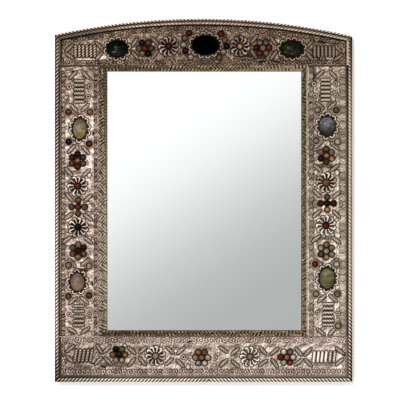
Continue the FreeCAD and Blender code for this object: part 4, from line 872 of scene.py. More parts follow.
# Lines along the rope: distances from the outer edge and their levels, then rows or
# columns and how bright the lines are there, painted shade darkening them towards the corners.
EDGES = {
    "left_sheet": (
        (6, 7.2, 7.7, 8.3, 8.9, 9.6, 10.4), (0, 0, 0.22, 0.56, 0.14, 0.1, 0.34),
        (48, 62, 200, 262, 325, 372), (0.6, 1.05, 1.08, 1.4, 0.95, 0.5),
    ),
    "right_sheet": (
        (6, 7.2, 8, 8.8, 9.6, 10.4), (0.22, 0.1, 0.2, 0.24, 0.45, 0.46),
        (48, 70, 92, 112, 352), (0.5, 0.45, 0.7, 0.97, 1.04),
    ),
    "bottom_sheet": (
        (6, 6.7, 7.3, 8, 9, 10.4), (0.2, 0.16, 0.3, 0.37, 0.35, 0.34),
        (58, 75, 100, 116, 340), (0.6, 0.5, 0.7, 1.08, 1.15),
    ),
    "top_sheet": (
        (6, 8.5, 9, 10.8, 11.5), (0.7, 0.6, 0, 0, 0.3),
        (58, 105, 128, 190, 352), (0.62, 0.7, 1.08, 1, 1.05),
    ),
}


def lay_common(relief, inset, seed, name):
    """Hammered ground with lighter and darker patches, the dark ones by the top corners painted
    shade, and the lines along the outer edge; gives back their painted light and shade along it."""
    marks, patches, broad, hue = (
        ripple(relief.x, relief.z, seed + more, shortest, longest)
        for more, (shortest, longest) in enumerate(((1.8, 5), (6, 16), (20, 60), (5, 14)))
    )
    relief.height += 0.06 * marks
    relief.polish = relief.level + 0.15 * marks + 0.13 * patches + 0.05 * broad
    relief.cast = (0.53 if name == "right_sheet" else 0.46) + 0.26 * hue
    # Lighter and darker patches; the dark ones by the top corners are painted shade.
    for column, row, long, wide, turn, level in PATCHES_AND_CORNER_SHADE:
        where, along, across = relief.around(column, row, long + wide + 4, turn)
        beyond = np.clip(abs(along) - long, 0, None)
        cover = smooth_step((wide + 1 - np.hypot(beyond, across)) / 2.4)
        tone = level + 0.5 * (relief.polish[where] - relief.level[where])
        relief.lay(where, relief.height[where], tone, cover)
        relief.level[where] += 0.8 * (level - relief.level[where]) * cover
    places, levels, along, bright = EDGES[name]
    spot = picture(relief.x, relief.z)[name in SIDE_SHEETS]
    # Painted light and shade along the rope: the lines darken towards the corners.
    bright = np.interp(spot, along, bright)
    tone = np.interp(inset, places, levels) * bright
    beads = 1 + 0.4 * beat(relief.x + relief.z, 3.7)
    edge = smooth_step((places[-1] + 0.2 - inset) / 0.5)
    relief.lay(EVERY, 0.8 * tone - 0.35, tone * beads, edge)
    return bright


def lay_motifs(relief):
    """Every figure that falls on this sheet, lowest first."""
    for lay, items in (
        (lay_dent, DENTS),
        (lay_wave, WAVES),
        (lay_hoop, HOOPS),
        (lay_ring, RINGS),
        (lay_drop, DROPS),
        (lay_stroke, STROKES),
    ):
        for item in items:
            lay(relief, *item)
    for columns, rows, *rest in BARS:
        for column in columns:
            for row in rows:
                lay_bar(relief, column, row, *rest)
    for column, row, *_, ground in FLOWERS:
        lay_flower(relief, column, row, ground)
    for name in OVALS:
        lay_oval(relief, name)
    for _, (x, z), kind, width, _ in STONES:
        lay_setting(relief, x, z, kind, width / 2)


def sheet_grid(left, right, low, high):
    """Grid of points across and up; the ends may be functions of the place across."""
    step = sizes().grid_step / MM
    columns = np.linspace(left, right, int((right - left) / step) + 1)
    bottom = np.broadcast_to(low(columns) if callable(low) else low, columns.shape)
    top = np.broadcast_to(high(columns) if callable(high) else high, columns.shape)
    count = int((top.max() - bottom.min()) / step) + 1
    share = np.linspace(0, 1, count)
    x = np.repeat(columns[:, None], count, 1)
    z = bottom[:, None] + (top - bottom)[:, None] * share[None, :]
    return x, z


def front_plate(build, x, z, relief):
    """Lays the relief on the front plane and closes the plate behind it."""
    height = np.clip(relief.height, DEEPEST, HIGHEST).reshape(x.shape)
    front = np.stack([x, FRONT - height, z], -1)
    back = np.stack([x, np.full(x.shape, FRONT + GAUGE), z], -1)
    polish = np.clip(relief.polish, 0, 1)
    plate(build, front, back, polish, relief.cast)


def side_strip(build, outer, inward, seed):
    """Folded side of a sheet along a line of points, plain but dented."""
    outer = np.asarray(outer, float)
    depths = np.linspace(FRONT + 0.3, FLANGE_BACK, SIDE_ROWS)
    run = np.linspace(0, len(outer), len(outer))
    points = np.repeat(outer[:, None, :], len(depths), 1)
    points[:, :, 1] = depths[None, :]
    x, y = np.meshgrid(run, depths, indexing="ij")
    dents = 0.05 + 0.05 * ripple(x, y, seed, 6, 20)
    inward = np.asarray(inward, float).reshape(-1, 1, 3)
    front = points + inward * np.clip(dents, 0, 0.12)[:, :, None]
    back = points + inward * GAUGE
    polish = 0.42 + 0.12 * ripple(x, y, seed + 1, 3, 9)
    plate(build, front, back, polish, flat=False)


def upright_line(x, low, high):
    """Points up an edge, three millimetres apart."""
    return [(x, 0, height) for height in (*np.arange(low, high, 3), high)]


class MIRROR_OT_sheets(bpy.types.Operator):
    """Chased sheets of the border with their folded sides"""

    bl_idname = "mirror.sheets"
    bl_label = "Chased sheets"

    def execute(self, context):
        for name in SIDE_SHEETS:
            side_sheet(name)
        top_sheet()
        bottom_sheet()
        return {"FINISHED"}


# Rope

ROPE_STEP = 0.75
ROPE_SEGMENTS = 30
JOIN = 8


def tube_faces(rows, columns):
    """Quads of a closed tube whose points run ring by ring, with its first and last ring."""
    index = np.arange(rows * columns).reshape(rows, columns)
    after = np.roll(index, -1, 1)
    quads = np.stack([index[:-1], after[:-1], after[1:], index[1:]], -1).reshape(-1, 4)
    return quads.tolist(), index[0].tolist(), index[-1].tolist()


def mitre(outer, inner):
    """Place of a rope's end for an offset across, between its outer and its inner line."""
    return lambda across: outer + (inner - outer) * ((across + ROPE / 2) / ROPE)


# Level below which a strand is dark, then painted light and shade at six distances from the
# outer edge, and rows or columns with how bright the rope is there, painted shade darkening it
# towards the corners.
ROPE_SHADES = {
    "rope_left": (
        0.38, (0.66, 0.68, 0.84, 1.14, 2.1, 2.3),
        (40, 60, 120, 160, 200, 240, 275, 325, 350, 375),
        (0.42, 0.6, 0.58, 0.74, 0.98, 1.25, 1.5, 1.3, 0.85, 0.32),
    ),
    "rope_right": (
        0.44, (0.8, 0.7, 0.7, 0.92, 2.6, 4),
        (40, 60, 92, 120, 160, 260, 310, 350, 375),
        (0.2, 0.4, 0.95, 1.15, 1.2, 1.12, 1, 0.58, 0.52),
    ),
    "rope_bottom": (
        0.4, (1.25, 1, 0.9, 0.95, 1.4, 2.6),
        (58, 70, 90, 112, 140, 200, 300, 345),
        (0.45, 0.66, 0.82, 0.95, 1.08, 1.02, 1, 0.9),
    ),
    "rope_top": (
        0.3, (2, 1.8, 0.6, 0.1, 0.24, 0.9),
        (58, 100, 160, 182, 240, 345),
        (0.82, 0.94, 0.97, 1.12, 1.08, 1.18),
    ),
}


def twist(build, start, end, hand, long, point, shade, origin, scale):
    """Twisted rope; start and end give its ends, point turns a place along it to across
    and up, and origin and scale turn that place to millimetres of turning."""
    half = ROPE / 2
    count = int(long / ROPE_STEP)
    share = np.linspace(0, 1, count)[:, None]
    angle = np.linspace(0, 2 * math.pi, ROPE_SEGMENTS, endpoint=False)[None, :]
    offset = half * np.cos(angle)
    run = (start(offset) + (end(offset) - start(offset)) * share - origin) * scale
    phase = hand * 2 * math.pi * run / (sizes().rope_turn / MM)
    lobe = abs(np.cos(sizes().rope_strands / 2 * (angle - phase)))
    radius = half * (0.76 + 0.24 * lobe ** 0.7)
    across = radius * np.cos(angle)
    x, z = point(start(across) + (end(across) - start(across)) * share, across)
    y = np.minimum(ROPE_FRONT + half + radius * np.sin(angle), FRONT)
    quads, first, last = tube_faces(count, ROPE_SEGMENTS)
    smooth = [True] * len(quads) + [False, False]
    wear = 0.05 * np.random.default_rng(31).standard_normal(x.shape)
    low, painted_light_across, spots, bright = shade
    upright = np.ptp(z) > np.ptp(x)
    # Painted light and shade along the rope, darker towards the corners.
    painted_light_along = np.interp(picture(x, z)[upright], spots, bright)
    low = low + 0.6 * np.clip(1 - painted_light_along, 0, 0.8)
    polish = np.clip((lobe - low) / (1 - low) * 1.05 + wear, 0, 1)
    # Painted light and shade across the rope, one side lit and the other shaded.
    polish *= np.interp(half + across, (0.8, 1.5, 2.5, 3.5, 4.5, 5.5), painted_light_across)
    polish = np.clip(polish * (0.4 + 0.6 * painted_light_along), 0, 1)
    build.add(np.stack([x, y, z], -1), quads + [first[::-1], last], smooth, polish)


class MIRROR_OT_ropes(bpy.types.Operator):
    """Twisted rope round the outer edge"""

    bl_idname = "mirror.ropes"
    bl_label = "Rope edge"

    def execute(self, context):
        half = ROPE / 2
        ends = {}
        for side, edge, way, tone in (
            ("left", LEFT_EDGE, 1, (1, 0.98, 0.93)),
            ("right", RIGHT_EDGE, -1, (1.07, 1.057, 1.025)),
        ):
            def point(along, across, edge=edge, way=way):
                return edge + way * (half + across) + along * 0, along

            inside = edge + way * ROPE
            high, low = float(arch(edge, 0)), float(arch(inside, ROPE))
            start, end = mitre(BOTTOM_EDGE, BOTTOM_EDGE + ROPE), mitre(high, low)
            self.lay("rope_" + side, tone, point, [(start, end, 1, high - BOTTOM_EDGE)])
            ends[side] = mitre(
                math.atan2(edge - ARCH_X, high - ARCH_Z),
                math.atan2(inside - ARCH_X, low - ARCH_Z),
            )

        def foot(along, across):
            return along, BOTTOM_EDGE + half + across + along * 0

        middle = (LEFT_EDGE + RIGHT_EDGE) / 2 + JOIN
        join = mitre(middle, middle)
        lengths = [
            (mitre(LEFT_EDGE, LEFT_EDGE + ROPE), join, 1, middle - LEFT_EDGE),
            (join, mitre(RIGHT_EDGE, RIGHT_EDGE - ROPE), -1, RIGHT_EDGE - middle),
        ]
        self.lay("rope_bottom", (1.06, 1.07, 1.04), foot, lengths, middle)

        def crown(along, across):
            radius = ARCH_RADIUS - half - across
            return ARCH_X + radius * np.sin(along), ARCH_Z + radius * np.cos(along)

        lengths = [
            (ends["left"], mitre(0, 0), 1, ARCH_X - LEFT_EDGE),
            (mitre(0, 0), ends["right"], -1, RIGHT_EDGE - ARCH_X),
        ]
        self.lay("rope_top", (1.02, 1.01, 0.99), crown, lengths, 0, ARCH_RADIUS)
        return {"FINISHED"}

    def lay(self, name, tone, point, lengths, origin=0, scale=1):
        """Makes a rope of one or two lengths, each with its ends, hand and length."""
        build = Build()
        for start, end, hand, long in lengths:
            twist(build, start, end, hand, long, point, ROPE_SHADES[name], origin, scale)
        build.make(name + "_twisted", [tin_material(name, tone)], [name])


# Bevel strips

# Length of one leaning, then places and sizes of the leaf's share of the width, places and
# levels of wear, and dark of the inner rim.
BEVEL_WEAR = {
    "left": (
        15, ((0.2, 0.5, 0.9), (0.96, 0.88, 0.56)),
        ((0, 0.2, 0.45, 0.8, 1), (0.54, 0.66, 0.66, 0.46, 0.33)), 0.1,
    ),
    "right": (13, ((0,), (1,)), ((0, 0.4, 0.8, 1), (0.49, 0.45, 0.39, 0.33)), 0.85),
    "top": (21, ((0,), (1,)), ((0, 0.3, 0.7, 1), (0.3, 0.41, 0.49, 0.64)), 0.7),
    "bottom": (19, ((0,), (1,)), ((0, 0.3, 0.8, 1), (0.22, 0.32, 0.44, 0.41)), 0.6),
}
BEVEL_TONES = {
    "bottom": (1, 0.95, 0.92), "top": (1, 0.95, 0.9), "left": (1, 1, 1), "right": (1, 1, 0.98),
}
# How far a bevel slopes down to the glass, in millimetres.
BEVEL_DROP = 5


def side_line(side, left, right, low, high):
    """Both ends of one side of a rectangle."""
    if side in ("left", "right"):
        edge = left if side == "left" else right
        return np.array([(edge, low), (edge, high)])
    edge = low if side == "bottom" else high
    return np.array([(left, edge), (right, edge)])


class MIRROR_OT_bevels(bpy.types.Operator):
    """Chased bevel strips round the glass"""

    bl_idname = "mirror.bevels"
    bl_label = "Bevel strips"

    def execute(self, context):
        step = sizes().grid_step / MM
        for side, tone in BEVEL_TONES.items():
            first, second = side_line(side, SLIP_LEFT, SLIP_RIGHT, SEAM_BOTTOM, SEAM_TOP)
            third, fourth = side_line(side, SIGHT_LEFT, SIGHT_RIGHT, SIGHT_BOTTOM, SIGHT_TOP)
            long = np.linalg.norm(second - first)
            width = abs(third - first)[0 if side in ("left", "right") else 1]
            along = np.linspace(0, 1, int(long / step) + 1)[:, None, None]
            across = np.linspace(0, 1, int(width / (step * 0.85)) + 1)[None, :, None]
            edge = first + (second - first) * along
            nose = third + (fourth - third) * along
            flat = edge + (nose - edge) * across
            s = (along[:, :, 0] * long) + across[:, :, 0] * 0
            t = across[:, :, 0] + along[:, :, 0] * 0
            height, polish, cast = self.pattern(side, s, t * width, width)
            rise = height * math.cos(math.atan2(BEVEL_DROP, width))
            depth = FRONT + BEVEL_DROP * t
            front = np.stack([flat[:, :, 0], depth - rise, flat[:, :, 1]], -1)
            back = np.stack([flat[:, :, 0], depth + GAUGE, flat[:, :, 1]], -1)
            build = Build()
            plate(build, front, back, np.clip(polish, 0, 1), cast)
            name = "bevel_" + side
            build.make(name + "_chased", [bevel_material(name, tone)], [name])
        return {"FINISHED"}

    def pattern(self, side, s, distance, width):
        """Leafy strokes that lean to and fro, beside a plain hatched edge."""
        period, shares, wear, rim = BEVEL_WEAR[side]
        upright = side in ("left", "right")
        level = np.interp(s / s.max(), *wear)
        leaf = width * np.interp(s / s.max(), *shares)
        cell = (s + 1.6 * ripple(s, distance, 41, 14, 40)) / period
        lean = np.where(np.floor(cell) % 2 == 0, 1, -1)
        fold = distance if upright else abs(distance - 0.55 * width)
        strokes = beat(s + lean * 1.1 * fold, 5.4)
        vein = beat(distance + 1.3 * np.sin(math.pi * cell), leaf)
        hatch = beat(s - distance, 4.6)
        in_leaf = smooth_step((leaf - distance) / 0.8)
        pattern = (0.8 * strokes + 0.3 * vein) * in_leaf + 0.35 * hatch * (1 - in_leaf)
        height = -0.22 + 0.2 * pattern
        force = 0.28 if side == "right" else 0.4
        force = force * (1 + 0.4 * ripple(s, distance, 44, 8, 30))
        polish = level + force * pattern + 0.1 * ripple(s, distance, 42, 2, 6)
        if upright:
            bow = (cell + 0.55 * (distance / width) ** 1.5) % 1
            outline = smooth_step(1.4 - abs(bow - 0.5) * period / 0.8) * in_leaf
            height = height - 0.15 * outline
            polish = polish * (1 - 0.75 * outline)
        cool, warm = (0.28, 0.36) if side == "left" else (0.05, 0.6)
        cast = cool + warm * in_leaf + 0.12 * ripple(s, distance, 43, 6, 20)
        if side == "left":
            groove = smooth_step((0.7 - abs(distance - leaf)) / 0.6)
            polish = polish * (1 - 0.3 * groove) - 0.04 * (1 - in_leaf)
        polish = polish * (1 - rim * smooth_step((distance - width + 1.1) / 0.6))
        if side == "right":
            bead = smooth_step((0.75 - abs(distance - 1.1)) / 0.4)
            polish = polish + (0.9 + 0.12 * beat(s, 4.2) - polish) * bead
            cast = cast + (0.4 - cast) * bead
            height = height * (1 - bead)
        else:
            polish = polish * (1 - 0.6 * smooth_step((0.8 - distance) / 0.5))
        return np.minimum(height, 0), polish, cast


# Stones

def dome(build, x, z, width, height, rise, foot, rings, segments, seed, tone=0.5):
    """Polished stone on a straight foot, a little uneven."""
    draw = np.random.default_rng(seed)
    uneven = draw.uniform(0.975, 1, 2)
    turn = draw.uniform(0, 2 * math.pi)
    angle = np.linspace(0, 2 * math.pi, segments, endpoint=False)
    climb = np.linspace(0, math.pi / 2, rings + 1)[:-1]
    wave = 1 - 0.012 * (1 + np.cos(2 * (angle - turn)))
    spread = np.concatenate([[0.98, 1], np.cos(climb) ** 0.92])[:, None]
    level = np.concatenate([[0, 0.12 * foot], foot + rise * np.sin(climb)])
    points = np.stack([
        x + width / 2 * spread * (np.cos(angle) * wave) * uneven[0],
        np.repeat(FRONT - level[:, None], segments, 1),
        z + height / 2 * spread * (np.sin(angle) * wave) * uneven[1],
    ], -1).reshape(-1, 3)
    # A stone's polish attribute holds its height share; its material turns that into painted shade
    # at the foot.
    polish = np.append(np.repeat(np.minimum(1, level / (foot + rise)), segments), 1)
    faces, first, last = tube_faces(len(level), segments)
    top = len(points)
    faces += [[corner, after, top] for corner, after in zip(last, last[1:] + last[:1])]
    smooth = [True] * len(faces) + [False]
    points = np.append(points, [(x, FRONT - foot - rise, z)], 0)
    build.add(points, faces + [first[::-1]], smooth, polish, tone)


class MIRROR_OT_round_stones(bpy.types.Operator):
    """Round stones, one piece for each colour"""

    bl_idname = "mirror.round_stones"
    bl_label = "Round stones"

    def execute(self, context):
        foot = sizes().stone_foot / MM
        for family in FAMILIES:
            build = Build()
            for seed, (colour_name, (x, z), kind, width, tone) in enumerate(STONES):
                if colour_name == family:
                    rise = STONE_RISES[kind]
                    dome(build, x, z, width, width, rise, foot, *ROUND_MESH, seed, tone)
            item = stone_material(family)
            build.make(family + "_cabochons", [item], [family + "_stones"])
        return {"FINISHED"}


class MIRROR_OT_ovals(bpy.types.Operator):
    """Seven oval stones"""

    bl_idname = "mirror.ovals"
    bl_label = "Oval stones"

    def execute(self, context):
        for seed, (name, (column, row, width, height)) in enumerate(OVALS.items()):
            build = Build()
            x, z = place(column, row)
            dome(build, x, z, width, height, OVAL_RISE, OVAL_FOOT, *OVAL_MESH, 50 + seed)
            build.make(name + "_cabochon", [stone_material(name)], [name])
        return {"FINISHED"}


# Width of the glass's ground edge in millimetres, and screen values of its tints.
GROUND_EDGE = 0.5
EDGE_GREENS = ((70, 104, 92), (132, 168, 154))
PAINT_GREYS = ((86, 90, 94), (116, 120, 124))


class MIRROR_OT_glass(bpy.types.Operator):
    """Silvered glass with ground edges"""

    bl_idname = "mirror.glass"
    bl_label = "Mirror glass"

    def execute(self, context):
        low, high = (np.array(corner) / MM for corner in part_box("mirror_glass"))
        points = []
        for depth, inset in (
            (low[1], GROUND_EDGE), (low[1] + GROUND_EDGE, 0),
            (high[1] - GROUND_EDGE, 0), (high[1], GROUND_EDGE),
        ):
            left, right = low[0] + inset, high[0] - inset
            down, up = low[2] + inset, high[2] - inset
            points += [(left, depth, down), (right, depth, down)]
            points += [(right, depth, up), (left, depth, up)]
        faces = [[0, 1, 2, 3]]
        for base in (0, 4, 8):
            for corner in range(base, base + 4):
                after = base + (corner + 1) % 4
                faces.append([corner, corner + 4, after + 4, after])
        faces.append([15, 14, 13, 12])
        slots = [0] + [1] * 12 + [2]
        build = Build()
        build.add(points, faces, [False] * len(faces), 0.5, slots=slots)
        edge = streaked_material("glass_edge", 140, 4, (1, 1, 1), EDGE_GREENS, (0.2, 0.5))
        paint = streaked_material("backing_paint", 60, 5, (1, 1, 0.2), PAINT_GREYS, (0.4, 0.7))
        items = [silver_material(), edge, paint]
        build.make("mirror_pane", items, ["mirror_glass"])
        return {"FINISHED"}


# Materials

class Nodes:
    """Short words for building the nodes of a material or of the world."""

    def __init__(self, name, owner=None):
        self.material = owner or bpy.data.materials.new(name)
        self.material.use_nodes = True
        self.tree = self.material.node_tree
        self.shader = self.tree.nodes.get("Principled BSDF")

    def feed(self, socket, value):
        """Gives a socket a number, a colour or vector, or a link."""
        if isinstance(value, (int, float)):
            socket.default_value = value
        elif isinstance(value, tuple):
            full = len(value) == len(socket.default_value)
            socket.default_value = value if full else (*value, 1)
        else:
            self.tree.links.new(value, socket)

    def node(self, kind, inputs=None, **values):
        made = self.tree.nodes.new(kind)
        for key, value in values.items():
            setattr(made, key, value)
        for key, value in (inputs or {}).items():
            self.feed(made.inputs[key], value)
        return made

    def set(self, **values):
        """Feeds sockets of the shader; an underscore in their names stands for a space."""
        for key, value in values.items():
            self.feed(self.shader.inputs[key.replace("_", " ")], value)

    def coordinates(self, stretch=(1, 1, 1)):
        source = self.node("ShaderNodeTexCoord").outputs["Object"]
        return self.node("ShaderNodeMapping", {"Vector": source, "Scale": stretch}).outputs[0]

    def noise(self, scale, detail=4, rough=0.5, stretch=(1, 1, 1), distortion=0):
        inputs = {
            "Vector": self.coordinates(stretch), "Scale": scale, "Detail": detail,
            "Roughness": rough, "Distortion": distortion,
        }
        return self.node("ShaderNodeTexNoise", inputs).outputs["Fac"]

    def math(self, operation, first, second, clamp=False):
        inputs = {0: first, 1: second}
        made = self.node("ShaderNodeMath", inputs, operation=operation, use_clamp=clamp)
        return made.outputs[0]

    def ramp(self, factor, stops):
        made = self.node("ShaderNodeValToRGB", {"Fac": factor})
        band = made.color_ramp
        while len(band.elements) < len(stops):
            band.elements.new(0.5)
        for element, (position, tint) in zip(band.elements, stops):
            element.position = position
            element.color = (*tint, 1)
        return made.outputs["Color"]

    def blend(self, factor, first, second, mode="MIX"):
        inputs = {0: factor, 6: first, 7: second}
        return self.node("ShaderNodeMix", inputs, data_type="RGBA", blend_type=mode).outputs[2]

    def spread(self, factor, low, high, start=0, end=1):
        """Maps start to end onto low to high."""
        inputs = {"Value": factor, "From Min": start, "From Max": end}
        inputs.update({"To Min": low, "To Max": high})
        return self.node("ShaderNodeMapRange", inputs).outputs["Result"]

    def split(self, word):
        """One of X, Y and Z of the object's own coordinates."""
        return self.node("ShaderNodeSeparateXYZ", {0: self.coordinates()}).outputs[word]

    def bump(self, factor, strength, distance):
        inputs = {"Height": factor, "Strength": strength, "Distance": distance}
        self.set(Normal=self.node("ShaderNodeBump", inputs).outputs["Normal"])

    def attribute(self, name):
        return self.node("ShaderNodeAttribute", attribute_name=name).outputs["Fac"]

    def seen(self):
        """One for rays from the camera, straight or by way of glass or metal."""
        path = self.node("ShaderNodeLightPath").outputs
        total = path["Is Camera Ray"]
        for word in ("Is Glossy Ray", "Is Transmission Ray"):
            total = self.math("ADD", total, path[word], clamp=True)
        return total

    def mix(self, factor, first, second, output):
        """Shows the first shader at zero and the second at one."""
        inputs = {0: factor, 1: first.outputs[0], 2: second.outputs[0]}
        shown = self.node("ShaderNodeMixShader", inputs)
        self.feed(output.inputs["Surface"], shown.outputs[0])


def shades(base, low, high):
    """Darker, plain and lighter tint."""
    dark = tuple(value * low for value in base)
    return dark, tuple(base), tuple(min(1, value * high) for value in base)


def tinted(tint, tone):
    return tuple(min(1, value * share ** 2.2) for value, share in zip(tint, tone))


def worn_metal(name, tone, words, places):
    """Antiqued metal: dark in the recesses, rubbed bright on the crests."""
    tints = [tinted(getattr(colours(), word), tone) for word in words]
    nodes = Nodes(name + "_metal")
    # The polish attribute carries wear and patina, and also painted light and shade: across and
    # along the ropes, along the edge lines, round the oval stones and in the dark corner patches.
    polish = nodes.attribute("polish")
    fine = nodes.noise(650, 3, 0.6)
    broad = nodes.noise(70, 4, 0.6)
    stain = nodes.noise(28, 3, 0.5)
    rough = nodes.math("ADD", nodes.spread(fine, -0.16, 0.16), nodes.spread(broad, -0.14, 0.14))
    rough = nodes.math("MULTIPLY", rough, nodes.spread(polish, 0.25, 1.3))
    mixed = nodes.math("ADD", polish, rough, clamp=True)
    tint = nodes.ramp(mixed, list(zip(places, tints)))
    hue = nodes.math("ADD", nodes.attribute("cast"), nodes.spread(stain, -0.25, 0.25))
    warm = nodes.ramp(hue, [(0.15, (1, 0.9, 0.93)), (0.5, (1, 1, 1)), (0.85, (0.94, 1, 0.85))])
    nodes.set(
        Base_Color=nodes.blend(0.9, tint, warm, "MULTIPLY"),
        Roughness=nodes.spread(mixed, 0.75, 0.48),
        Metallic=0.62,
        Specular_IOR_Level=0.12,
    )
    nodes.bump(fine, 0.25, 0.0003)
    return nodes.material


def tin_material(name, tone):
    words = ("recess", "shade", "middle", "light", "crest")
    return worn_metal(name, tone, words, (0, 0.25, 0.5, 0.75, 1))


def bevel_material(name, tone):
    words = ("recess", "bevel_shade", "bevel_middle", "bevel_light")
    return worn_metal(name, tone, words, (0, 0.3, 0.6, 0.95))


# Dark, middle and light tone of each stone, in screen values, and its gloss.
STONE_TONES = {
    "garnet": ((18, 1, 1), (60, 9, 6), (126, 38, 28), 0.05),
    "ruby": ((44, 8, 3), (96, 26, 13), (176, 72, 50), 0.06),
    "amber": ((50, 26, 10), (112, 76, 43), (190, 146, 106), 0.08),
    "olive": ((46, 35, 14), (98, 80, 48), (168, 152, 108), 0.08),
    "jet": ((2, 1, 1), (20, 10, 8), (74, 58, 50), 0.05),
    "smoky": ((54, 46, 40), (108, 96, 84), (184, 178, 166), 0.1),
    "pearl": ((86, 70, 62), (134, 116, 102), (214, 204, 196), 0.12),
    "top_centre_oval": ((0, 0, 0), (0, 0, 1), (4, 4, 14), 0.0),
    "top_left_oval": ((1, 2, 2), (11, 12, 11), (126, 136, 124), 0.01),
    "top_right_oval": ((8, 4, 1), (30, 29, 15), (104, 108, 76), 0.02),
    "left_upper_oval": ((84, 66, 38), (124, 112, 86), (172, 174, 160), 0.06),
    "left_lower_oval": ((92, 62, 46), (117, 101, 92), (158, 154, 148), 0.06),
    "right_upper_oval": ((44, 40, 36), (94, 90, 90), (132, 130, 132), 0.09),
    "right_lower_oval": ((68, 52, 24), (98, 97, 68), (140, 150, 122), 0.06),
}

# Tint of an oval stone towards its foot and towards its head: painted light and shade, with
# part of the stone's own change of colour.
OVAL_SHADING = {
    "top_centre_oval": ((1, 1, 1), (0.8, 0.8, 1.2)),
    "top_left_oval": ((3, 3.2, 3), (0.5, 0.5, 0.5)),
    "top_right_oval": ((1.3, 1.35, 1.25), (0.76, 0.7, 0.66)),
    "left_upper_oval": ((1.14, 1.04, 0.78), (0.8, 0.8, 0.86)),
    "left_lower_oval": ((1.1, 0.92, 0.8), (0.92, 0.93, 0.96)),
    "right_upper_oval": ((0.3, 0.26, 0.22), (1.22, 1.23, 1.28)),
    "right_lower_oval": ((0.92, 0.9, 0.86), (1.02, 1.04, 1.06)),
}


def stone_material(name):
    """Polished stone, cloudy inside, with painted shade darkening it towards its foot."""
    *tones, gloss = STONE_TONES[name]
    oval = name in OVAL_SHADING
    cloud_scale, vein_scale, grain, rim = (
        (110, 240, 0.55, (0.45, 1.1)) if oval else (165, 528, 0.2, (0.12, 1.18))
    )
    nodes = Nodes(name + "_stone")
    cloud = nodes.noise(cloud_scale, 5, 0.62, (0.7, 1, 1.5), distortion=0.6)
    veins = nodes.noise(vein_scale, 3, 0.6, distortion=1.5)
    mixed = nodes.math("ADD", nodes.spread(cloud, -0.35, 1.05), nodes.spread(veins, -grain, grain))
    mixed = nodes.math("ADD", mixed, nodes.spread(nodes.attribute("cast"), -0.45, 0.45))
    # Painted shade: the stone darkens towards its foot, over the range in rim.
    rise = nodes.spread(nodes.attribute("polish"), *rim)
    mixed = nodes.math("MULTIPLY", mixed, rise, clamp=True)
    tint = nodes.ramp(mixed, [(at, srgb(*tone)) for at, tone in zip((0.05, 0.5, 0.95), tones)])
    if oval:
        # Painted light and shade from foot to head, with part of the stone's own change of colour.
        low, high = (float(corner[2]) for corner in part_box(name))
        share = nodes.spread(nodes.split("Z"), 0, 1, low, high)
        drift = nodes.math("ADD", share, nodes.spread(cloud, -0.3, 0.3))
        shade = nodes.ramp(drift, list(zip((0.15, 0.75), OVAL_SHADING[name])))
        tint = nodes.blend(1, tint, shade, "MULTIPLY")
    roughness = nodes.spread(veins, 0.14, 0.3)
    nodes.set(Base_Color=tint, Roughness=roughness, Specular_IOR_Level=gloss)
    nodes.bump(cloud, 0.08, 0.0004)
    return nodes.material


def silver_material():
    """Silvering with a faint haze."""
    nodes = Nodes("silvered_face")
    haze = nodes.noise(9, 3, 0.5)
    far, near, _ = shades(colours().silver, 0.985, 1)
    tint = nodes.blend(haze, near, far)
    nodes.set(Base_Color=tint, Roughness=nodes.spread(haze, 0.012, 0.03), Metallic=1)
    nodes.bump(haze, 0.02, 0.0001)
    return nodes.material


def streaked_material(name, scale, detail, stretch, tones, rough):
    """Even tint with light streaks."""
    nodes = Nodes(name)
    streak = nodes.noise(scale, detail, 0.6, stretch)
    tint = nodes.ramp(streak, [(at, srgb(*tone)) for at, tone in zip((0.3, 0.7), tones)])
    nodes.set(Base_Color=tint, Roughness=nodes.spread(streak, *rough))
    nodes.bump(streak, 0.2, 0.0002)
    return nodes.material


STAIN = (0.46, 0.42, 0.38)


def wood_material(name, stretch, stain=(1, 1, 1)):
    """Sawn pine with its grain along one way, plain or stained."""
    nodes = Nodes(name)
    tones = shades(tinted(colours().pine, stain), 0.42, 1.12)
    grain = nodes.noise(60, 6, 0.62, stretch, 0.8)
    fibre = nodes.noise(420, 3, 0.6, stretch)
    mixed = nodes.math("ADD", grain, nodes.spread(fibre, -0.14, 0.14), clamp=True)
    tint = nodes.ramp(mixed, list(zip((0.3, 0.45, 0.75), tones)))
    nodes.set(Base_Color=tint, Roughness=nodes.spread(fibre, 0.62, 0.86))
    nodes.bump(fibre, 0.35, 0.0004)
    return nodes.material


def board_material(name, base, scale):
    """Pressed fibre board or card."""
    nodes = Nodes(name)
    fibres = nodes.noise(scale, 6, 0.7, distortion=2)
    stain = nodes.noise(9, 3, 0.5)
    mixed = nodes.math("ADD", nodes.spread(fibres, 0.05, 0.95), nodes.spread(stain, -0.15, 0.15))
    tint = nodes.ramp(mixed, list(zip((0.2, 0.5, 0.85), shades(base, 0.55, 1.35))))
    nodes.set(Base_Color=tint, Roughness=nodes.spread(fibres, 0.55, 0.8))
    nodes.bump(fibres, 0.3, 0.0003)
    return nodes.material


def steel_material(name, base):
    """Plated steel, spotted and scuffed."""
    nodes = Nodes(name)
    scuff = nodes.noise(900, 4, 0.6)
    spots = nodes.noise(260, 4, 0.7)
    mixed = nodes.math("ADD", nodes.spread(scuff, 0.1, 0.7), nodes.spread(spots, -0.1, 0.35))
    tint = nodes.ramp(mixed, list(zip((0.2, 0.5, 0.8), shades(base, 0.5, 1.25))))
    nodes.set(Base_Color=tint, Roughness=nodes.spread(spots, 0.28, 0.55), Metallic=0.9)
    nodes.bump(scuff, 0.15, 0.0002)
    return nodes.material


def cover(names, item):
    """Gives solid pieces a material."""
    for name in names:
        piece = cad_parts[name]
        if not piece.material_slots:
            piece.data.materials.append(item)
        for slot in piece.material_slots:
            slot.material = item


